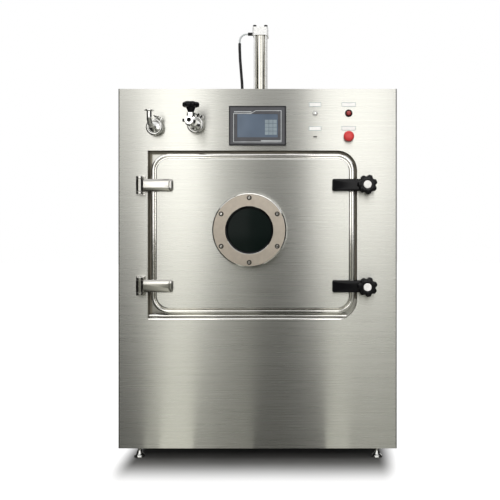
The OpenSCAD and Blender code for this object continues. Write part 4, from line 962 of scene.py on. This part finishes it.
def clamp_arm(side, lo, hi):
    stud = Vector((middle("knob_cap_" + side).x, 0, (lo.z + hi.z) / 2))

    def outline(inset, y):
        half, r = (hi.z - lo.z) / 2 - inset * MM, (ARM_CORNER - inset * 0.6) * MM
        cx = lo.x + inset * MM + r
        return (arc(cx, stud.z - half + r, r, y, 180, 270, 10) + arc(stud.x, stud.z, half, y, -90, 90, 40)
                + arc(cx, stud.z + half - r, r, y, 90, 180, 10))

    def bore(y):
        spokes = [(Vector((x, 0, z)) - stud).normalized() for x, _, z in outline(0, y)]
        return [stud + Vector((0, y, 0)) + spoke * STUD_BORE_R * MM for spoke in spokes]

    rings = [bore(hi.y), outline(0.4, hi.y), outline(0, hi.y - 0.6 * MM)]
    rings += [outline(inset, lo.y + deep * MM) for inset, deep in
              ((0, 4.5), (0.3, 2.9), (1.0, 1.6), (2.1, 0.7), (3.4, 0.2), (4.6, 0.0))]
    fit(loft("clamp_arm_" + side, rings + [bore(lo.y), bore(hi.y)]), "clamp_arms", clamp_black, 40)


for side, lo, hi in halves("clamp_arms"):
    clamp_arm(side, lo, hi)
    print(side, "clamp arm", round(hi.x - lo.x, 3), "m long")

# %% [markdown]
# The clamp knobs are moulded stars with seven lobes. Their outline follows a rule, a circle whose
# radius falls seven times, so one list of rings with a swelling edge makes the form. The stud goes
# back from the hub into the arm, and a white cap closes the well in front.

# %% Star knobs
def lobed(r, notch, lobes, sharpness, count, first=0.0):
    """A circle with regular notches, as pairs about its middle."""
    pairs = []
    for i in range(count):
        a = 2 * pi * i / count
        reach = (r - notch * ((1 - cos(lobes * a)) / 2) ** sharpness) * MM
        pairs.append((reach * cos(a + first), reach * sin(a + first)))
    return pairs


HUB = 30
# Depth behind the knob's front, radius, and depth of the notches, in millimetres
KNOB = [(HUB, 15, 0), (HUB - 1, 16.5, 0), (18.5, 17, 0), (17, 30.6, 5), (16.6, 34.4, 5.72),
        (14.6, 36.6, 6.6), (11.6, 37.5, 6.96), (8, 37.4, 6.92), (4.6, 36.2, 6.44), (2, 34, 5.56),
        (0.5, 30.8, 4.28), (0, 21, 1.5)]
LOBES, FIRST_LOBE = 7, 0.35
for side in ("upper", "lower"):
    node, cap = "star_knob_" + side, "knob_cap_" + side
    lo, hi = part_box(node)
    spot = on_plane(cap, lo.y)
    well = (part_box(cap)[1].x - spot.x) / MM + 0.4
    rings = [[(spot.x + x, spot.y + deep * MM, spot.z + z)
              for x, z in lobed(r, notch, LOBES, 2.2, 12 * LOBES, FIRST_LOBE)]
             for deep, r, notch in KNOB + [(0, well + 1.2, 0), (0.8, well, 0), (3, well, 0)]]
    fit(loft(node + "_moulding", rings, True, True), node, knob_black, 40)
    end = (hi.y - lo.y) / MM - HUB
    fit(lathe(node + "_stud", [(6, 0), (6, 1 - end), (5, -end)], spot + Vector((0, HUB * MM, 0)), count=32),
        node, turned_metal, 35, replace=False)
    dress("clamp_washer_" + side, turned_metal)
    dress(cap, white_cap, 1.2 * MM, 3)

# %% [markdown]
# The touch panel has a moulded bezel with a dark edge, a fine light line with a step at its upper
# left, and two short accents. They are printed on the real bezel. Thin strips laid just in front of
# it do the same, and their mitred corners keep the line's width even round every bend.

# %% Touch panel
def flat_strip(name, points, width, y, node, material):
    """A line of even width round a closed path of (x, z) points."""
    sides = [[], []]
    for i, point in enumerate(points):
        here = Vector(point)
        ahead = (Vector(points[(i + 1) % len(points)]) - here).normalized()
        back = (here - Vector(points[i - 1])).normalized()
        across = Vector((-(ahead.y + back.y), ahead.x + back.x)).normalized()
        reach = width / 2 / max(0.4, abs(across.dot(Vector((-ahead.y, ahead.x)))))
        for side, sign in zip(sides, (-1, 1)):
            side.append((here.x + sign * reach * across.x, y, here.y + sign * reach * across.y))
    mesh = loft(name, sides)
    if mesh.polygons[0].normal.y > 0:
        mesh.flip_normals()
    fit(mesh, node, material, replace=False)


hmi_lo, hmi_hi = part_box("hmi_panel")
HMI = on_plane("hmi_panel", hmi_lo.y)
dress("hmi_panel", bezel_grey, 1.0 * MM)
finish_only(display_glass, "hmi_screen")
INSET = 2.9 * MM
flat_strip("bezel_edge", square(HMI.x, HMI.z, hmi_hi.x - HMI.x - INSET, hmi_hi.z - HMI.z - INSET),
           5.0 * MM, HMI.y - 0.04 * MM, "hmi_panel", frame_dark)
LINE = [(-91, 46), (-26, 46), (-6, 57), (90, 57), (90, -62), (-91, -62)]
for name, points, width, proud in (("line", LINE, 2.2, 0.05),
                                   ("accent_upper", square(-56, 52.5, 32, 1), 1.6, 0.06),
                                   ("accent_lower", square(52, -57.5, 38, 1), 1.6, 0.06)):
    flat_strip("bezel_" + name, [(HMI.x + x * MM, HMI.z + z * MM) for x, z in points],
               width * MM, HMI.y - proud * MM, "hmi_panel", line_grey)
print("bezel", round(hmi_hi.x - hmi_lo.x, 3), "m wide")

# %% [markdown]
# The display shows a plain page with a small keypad at its right. Twelve equal keys are a grid, so
# a tree puts one flat box on the points of a mesh grid and turns the lot to face the viewer.

# %% Keypad on the display
COLUMNS, ROWS = 3, 4


def keypad_layout(tree, given):
    spans = [add(tree, "ShaderNodeMath", {0: given[label], 1: float(count - 1)}, operation="MULTIPLY")
             for label, count in (("Pitch x", COLUMNS), ("Pitch z", ROWS))]
    grid = add(tree, "GeometryNodeMeshGrid", {"Vertices X": COLUMNS, "Vertices Y": ROWS,
                                              "Size X": spans[0], "Size Y": spans[1]})
    size = add(tree, "ShaderNodeCombineXYZ", {"X": given["Key width"], "Y": given["Key height"],
                                              "Z": 0.2 * MM})
    key = add(tree, "GeometryNodeMeshCube", {"Size": size})
    copies = add(tree, "GeometryNodeInstanceOnPoints", {"Points": grid, "Instance": key})
    return add(tree, "GeometryNodeTransform", {"Geometry": copies, "Rotation": (pi / 2, 0, 0),
                                               "Translation": given["Centre"]})


screen_lo, screen_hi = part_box("hmi_screen")
keys = {"Key width": 14 * MM, "Key height": 13 * MM, "Pitch x": 15.6 * MM, "Pitch z": 14.6 * MM,
        "Centre": (screen_hi.x - 26 * MM, screen_lo.y - 0.12 * MM, HMI.z - 6 * MM)}
seat(grown("screen_keypad", keys, keypad_layout, key_light), "hmi_screen", key_light, replace=False)

# %% [markdown]
# The push button, data socket, lamp and emergency stop sit in a square of four. All but the socket
# are round, so each is a lathe about the middle of its solid. The profiles go from the panel out to
# the crown, and the button, the lens and the red mushroom are domed, as a finger expects them.

# %% Controls
def turned(name, node, profile, material, replace=True, count=48):
    """A lathed piece in front of the panel, about the middle of its solid."""
    fit(lathe(name, profile, on_plane(node, PANEL_Y), count=count), node, material, 35, replace)
    print(name, 2 * max(r for r, _ in profile), "mm across")


dress("button_bezel", turned_metal, 0.2 * MM)
turned("button_ring", "button_bezel", [(6.3, 0.1), (10.4, 0.1), (10.5, 0.9), (9.6, 2.2), (8.2, 3.0),
                                       (6.9, 3.0), (6.3, 2.4), (6.3, 0.1)], hinge_metal, replace=False)
turned("button_face", "push_button", [(5.9, -6), (5.9, 3.2), (5.4, 3.9), (4.2, 4.3), (2.4, 4.5), (0, 4.5)],
       tube_metal)
turned("lamp_ring", "indicator_lamp", [(9.0, -8), (14.3, 0.1), (14.5, 0.8), (14.3, 2.4), (12.6, 4.2),
                                       (10.4, 4.6), (9.0, 3.6), (9.0, -8)], ring_red)
turned("lamp_lens", "indicator_lamp", [(8.9, -8), (8.9, 5.6), (8.2, 8.0), (6.2, 9.8), (3.4, 10.8), (0, 11)],
       lens_red, replace=False)
turned("stop_mushroom", "stop_head", [
    (7.2, 14.7), (14.8, 14.7), (18.4, 16.2), (19.7, 18.2), (20.0, 20.4), (20.0, 23.4), (19.4, 26.2),
    (17.8, 28.6), (15.2, 30.3), (9, 31.6), (0, 32)], stop_red, count=64)
dress("stop_collar", fitting_black, 0.5 * MM)
finish_only(fitting_black, "stop_plunger")
dress("data_socket", satin_metal, 0.4 * MM)
spot = on_plane("data_socket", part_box("data_socket")[0].y - 0.05 * MM)
fit(sheet("socket_mouth", upright(spot.x - 6.6 * MM, spot.x + 6.6 * MM, spot.y,
                                  spot.z - 2.3 * MM, spot.z + 2.3 * MM)),
    "data_socket", fitting_black, replace=False)

# %% [markdown]
# Over each control sits a small white name plate, left blank here. A plate is half a millimetre of
# engraved plastic with a thin printed border, so it is a low loft with a strip in front.

# %% Name plates
PLATE_H = 17 * MM


def name_plate(name, x, z, w, h):
    outlines = [rounded_outline(x, z, w - 2 * inset * MM, h - 2 * inset * MM, (1.2 - inset) * MM,
                                PANEL_Y - proud * MM, 4)
                for inset, proud in ((0, 0), (0, 0.5), (0.15, 0.65))]
    fit(loft(name, outlines, cap_last=True), "front_panel", label_white, 40, replace=False)
    flat_strip(name + "_border", square(x, z, w / 2 - 1.1 * MM, h / 2 - 1.1 * MM), 1.5 * MM,
               PANEL_Y - 0.7 * MM, "front_panel", plate_line)
    print(name, round(w / MM), "mm wide")


for label, node, rise, w in (("button", "push_button", 33, 47), ("socket", "data_socket", 32, 48),
                             ("lamp", "indicator_lamp", 33, 54), ("stop", "stop_head", 33, 54)):
    name_plate(label + "_plate", middle(node).x, middle(node).z + rise * MM, w * MM, PLATE_H)

# %% [markdown]
# The two process ports are turned and polished fittings. Their solids have the right forms and only
# get softer edges. Each is held by a two-piece clamp ring with a crowned section, which is finer than
# a solid needs to be, so the ring is turned again here, as a lathe about the port's axis.

# %% Ports and clamp rings
for node in ("panel_ferrules", "port_elbow", "valve_body"):
    dress(node, tube_metal, 0.5 * MM)
valve_lo, valve_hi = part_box("valve_body")
RING_Y, FERRULE_R = PANEL_Y - 22 * MM, 25 * MM
PORTS = {"left": Vector((middle("port_elbow").x, RING_Y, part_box("port_elbow")[0].z + FERRULE_R)),
         "right": Vector((valve_hi.x - FERRULE_R, RING_Y, valve_lo.z + FERRULE_R))}
for side, port in PORTS.items():
    fit(lathe("clamp_ring_" + side, [
        (20.8, -8.5), (29.5, -8.5), (31.0, -7.4), (31.4, -5.5), (31.4, 3.0), (31.0, 5.0), (29.6, 7.0),
        (27.6, 8.1), (25.2, 8.5), (22.8, 8.0), (21.3, 6.9), (20.8, 5.6), (20.8, -8.5)], port, count=72),
        "tube_clamps", turned_metal, 50, replace=side == "left")
    print(side, "port at", [round(c, 3) for c in port])

# %% [markdown]
# A swing bolt with a wing nut draws each ring together at its upper right. Its lugs, bolt and wings
# are small bars that share one slanted frame, so a place rule turns their own coordinates into the
# part's, and one bevel at the end softens them all as a casting is.

# %% Swing bolts
# Tilt of the bolt, and how far its lugs start from the port's axis
BOLT_TILT, LUG_FOOT = 62, 30.4


def add_bar(work, rings):
    """A bar through rings of points, closed at both ends."""
    rings = [[work.verts.new(p) for p in ring] for ring in rings]
    for a, b in zip(rings, rings[1:]):
        band(work, a, b)
    work.faces.new(rings[0][::-1])
    work.faces.new(rings[-1])


def round_bar(work, u, y, ends, place):
    """A round bar whose ends are given as (radius, distance along it)."""
    add_bar(work, [[place(u + r * cos(2 * pi * i / 24), y + r * sin(2 * pi * i / 24), t) for i in range(24)]
                   for r, t in ends])


def swing_bolt(name, port):
    """Lugs, bolt and wing nut, in a frame whose u runs out of the ring and t along the bolt."""
    c, k = cos(radians(BOLT_TILT)), sin(radians(BOLT_TILT))

    def place(u, y, t):
        u += LUG_FOOT
        return (port.x + (u * c - t * k) * MM, port.y + y * MM, port.z + (u * k + t * c) * MM)

    work = bmesh.new()
    for t in (-11, 3):
        add_bar(work, [[place(u, y, end) for u, y in square(7, 0, 7, 6)] for end in (t, t + 8)])
    round_bar(work, 8, 0, ((3, -15), (3, 19)), place)
    round_bar(work, 8, 0, ((5, 12), (4.4, 19)), place)
    for side in (-1, 1):
        add_bar(work, [[place(8 + du, side * span, t) for du, t in ((-w, t0), (w, t0), (w, t1), (-w, t1))]
                       for span, w, t0, t1 in ((4, 2.6, 12.4, 17.5), (7.5, 2.4, 12.6, 19.5),
                                               (11, 2.1, 13.2, 20.9), (13.6, 1.7, 14.6, 20.6),
                                               (15, 1.0, 16.4, 19.0))])
    return soft_edges(new_piece(name, mesh_of(work, name)), 0.8 * MM, 3)


for side, port in PORTS.items():
    bolt = seat(swing_bolt("swing_bolt_" + side, port), "tube_clamps", turned_metal, replace=False)
    print(bolt.name, len(bolt.data.polygons), "faces")

# %% [markdown]
# The right port is a small sample valve. The shade inside its open mouth is painted by a dark
# lining, so that it reads as a bore and not as a disc. The black plug at its side is two round bars,
# one of them tapered.

# %% Valve's mouth and side plug
port = PORTS["right"]
# Painted shade: a black lining darkens the valve's bore
fit(lathe("valve_liner", [(7.85, -0.8), (7.85, -22), (0, -22), (0, -21.6), (7.4, -21.6), (7.4, -1.2),
                          (7.85, -0.8)], Vector((port.x, valve_lo.y, port.z)), count=32),
    "valve_body", rubber, 40, replace=False)
plug = bmesh.new()
PLUG_BACK = 12
for ends in (((4.6, 0.0), (5.7, 1.2)), ((5.7, 1.2), (5.7, 8.0))):
    round_bar(plug, 0, PLUG_BACK, ends, lambda u, y, t: (valve_lo.x + t * MM, valve_lo.y + y * MM,
                                                         port.z + u * MM))
fit(mesh_of(plug, "valve_plug"), "valve_body", knob_black, 40, replace=False)
print("lining and plug of the valve")

# %% [markdown]
# The valve's handwheel is a moulded disc with six shallow grips, made by the same rule as the star
# knobs. It stands on a slim neck, so its rings rise from the neck to the rim and close on top.

# %% Handwheel
WHEEL = middle("valve_handwheel")
wheel_lo, wheel_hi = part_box("valve_handwheel")
GRIPS, tall = 6, (wheel_hi.z - wheel_lo.z) / MM
rings = [[(WHEEL.x + x, WHEEL.y + y, wheel_lo.z + z * MM) for x, y in lobed(r, notch, GRIPS, 1.6, 16 * GRIPS)]
         for r, notch, z in (
    (10, 0, 0), (11.5, 0, 4), (14.5, 0, 12), (17, 0, tall - 20.5), (24, 3, tall - 19.6),
    (28.5, 5.2, tall - 18), (30.4, 5.8, tall - 15), (31, 6, tall - 10), (30.6, 6, tall - 5.5),
    (28.8, 5.6, tall - 2.2), (25, 4.2, tall - 0.5), (18, 1.5, tall), (8, 0, tall - 0.3), (1, 0, tall - 0.4))]
fit(loft("valve_handwheel_moulding", rings, True, True), "valve_handwheel", knob_black, 45)
print("handwheel", round(tall), "mm tall")

# %% [markdown]
# The pressing ram on the roof is an ordinary pneumatic cylinder: two pale machined caps, a smooth
# drawn barrel that mirrors its surroundings in narrow bands, and four bright tie rods that pull the
# caps together. They are true to size in the solids, so broken edges and finishes are enough.

# %% Ram
for node, material, width in (("cylinder_caps", cap_metal, 1.0), ("cylinder_barrel", barrel_metal, 0.4),
                              ("tie_rods", rod_metal, 0.3), ("air_fitting", fitting_black, 0.6),
                              ("cable_glands", fitting_black, 0.5), ("cylinder_yoke", inner_metal, 0.6)):
    dress(node, material, width * MM)
finish_only(turned_metal, "ram_rod")

# %% [markdown]
# Black nuts hold the tie rods. A lathe that takes only six steps a turn gives a hexagon with
# chamfered ends, and a tree puts it on each point of a grid of two by two. Where the grid's corners
# lie is read off the solid's own nuts.

# %% Nuts of the tie rods
NUT_AF = 13
nuts_lo, nuts_hi = box_of([v.co for v in frame["nodes"]["tie_rods"].data.vertices
                           if v.co.z > cap_hi.z + 0.2 * MM])
NUT_R, NUT_H = NUT_AF / 2 / cos(pi / 6), (nuts_hi.z - cap_hi.z) / MM


def corner_layout(tree, given):
    grid = add(tree, "GeometryNodeMeshGrid", {"Vertices X": 2, "Vertices Y": 2, "Size X": given["Width"],
                                              "Size Y": given["Depth"]})
    return pieces_on(tree, given, grid)


nut = lathe("nut_pattern", [(NUT_R, 0), (NUT_R + 0.2, 0.8), (NUT_R + 0.2, NUT_H - 1.4),
                            (NUT_R * 0.84, NUT_H - 0.05), (3, NUT_H - 0.05)], Vector((0, 0, 0)), "Z", 6)
repeated("tie_rod_nuts", nut, {
    "Width": nuts_hi.x - nuts_lo.x - 2 * NUT_R * MM, "Depth": nuts_hi.y - nuts_lo.y - NUT_AF * MM,
    "Centre": ((nuts_lo.x + nuts_hi.x) / 2, (nuts_lo.y + nuts_hi.y) / 2, cap_hi.z)},
    corner_layout, "tie_rods", fitting_black)

# %% [markdown]
# The chamber, its shelves and the cold trap are polished sheet, easy to wipe down. The machines
# below are bought in and painted by their makers. Little of them shows through the louvres and the
# open door, so their solids keep their own edges and only get a finish.

# %% Inside the cabinet
finish_only(inner_metal, "chamber_shell", "shelf_fixed", "shelf_lower", "shelf_middle", "shelf_upper",
            "pressure_plate", "cold_trap")
for material, node in ((turned_metal, "guide_rods"), (machine_paint, "compressor"),
                       (fin_metal, "finned_condenser"), (nut_metal, "fan_shroud"), (fitting_black, "fan"),
                       (pump_paint, "vacuum_pump")):
    finish_only(material, node)
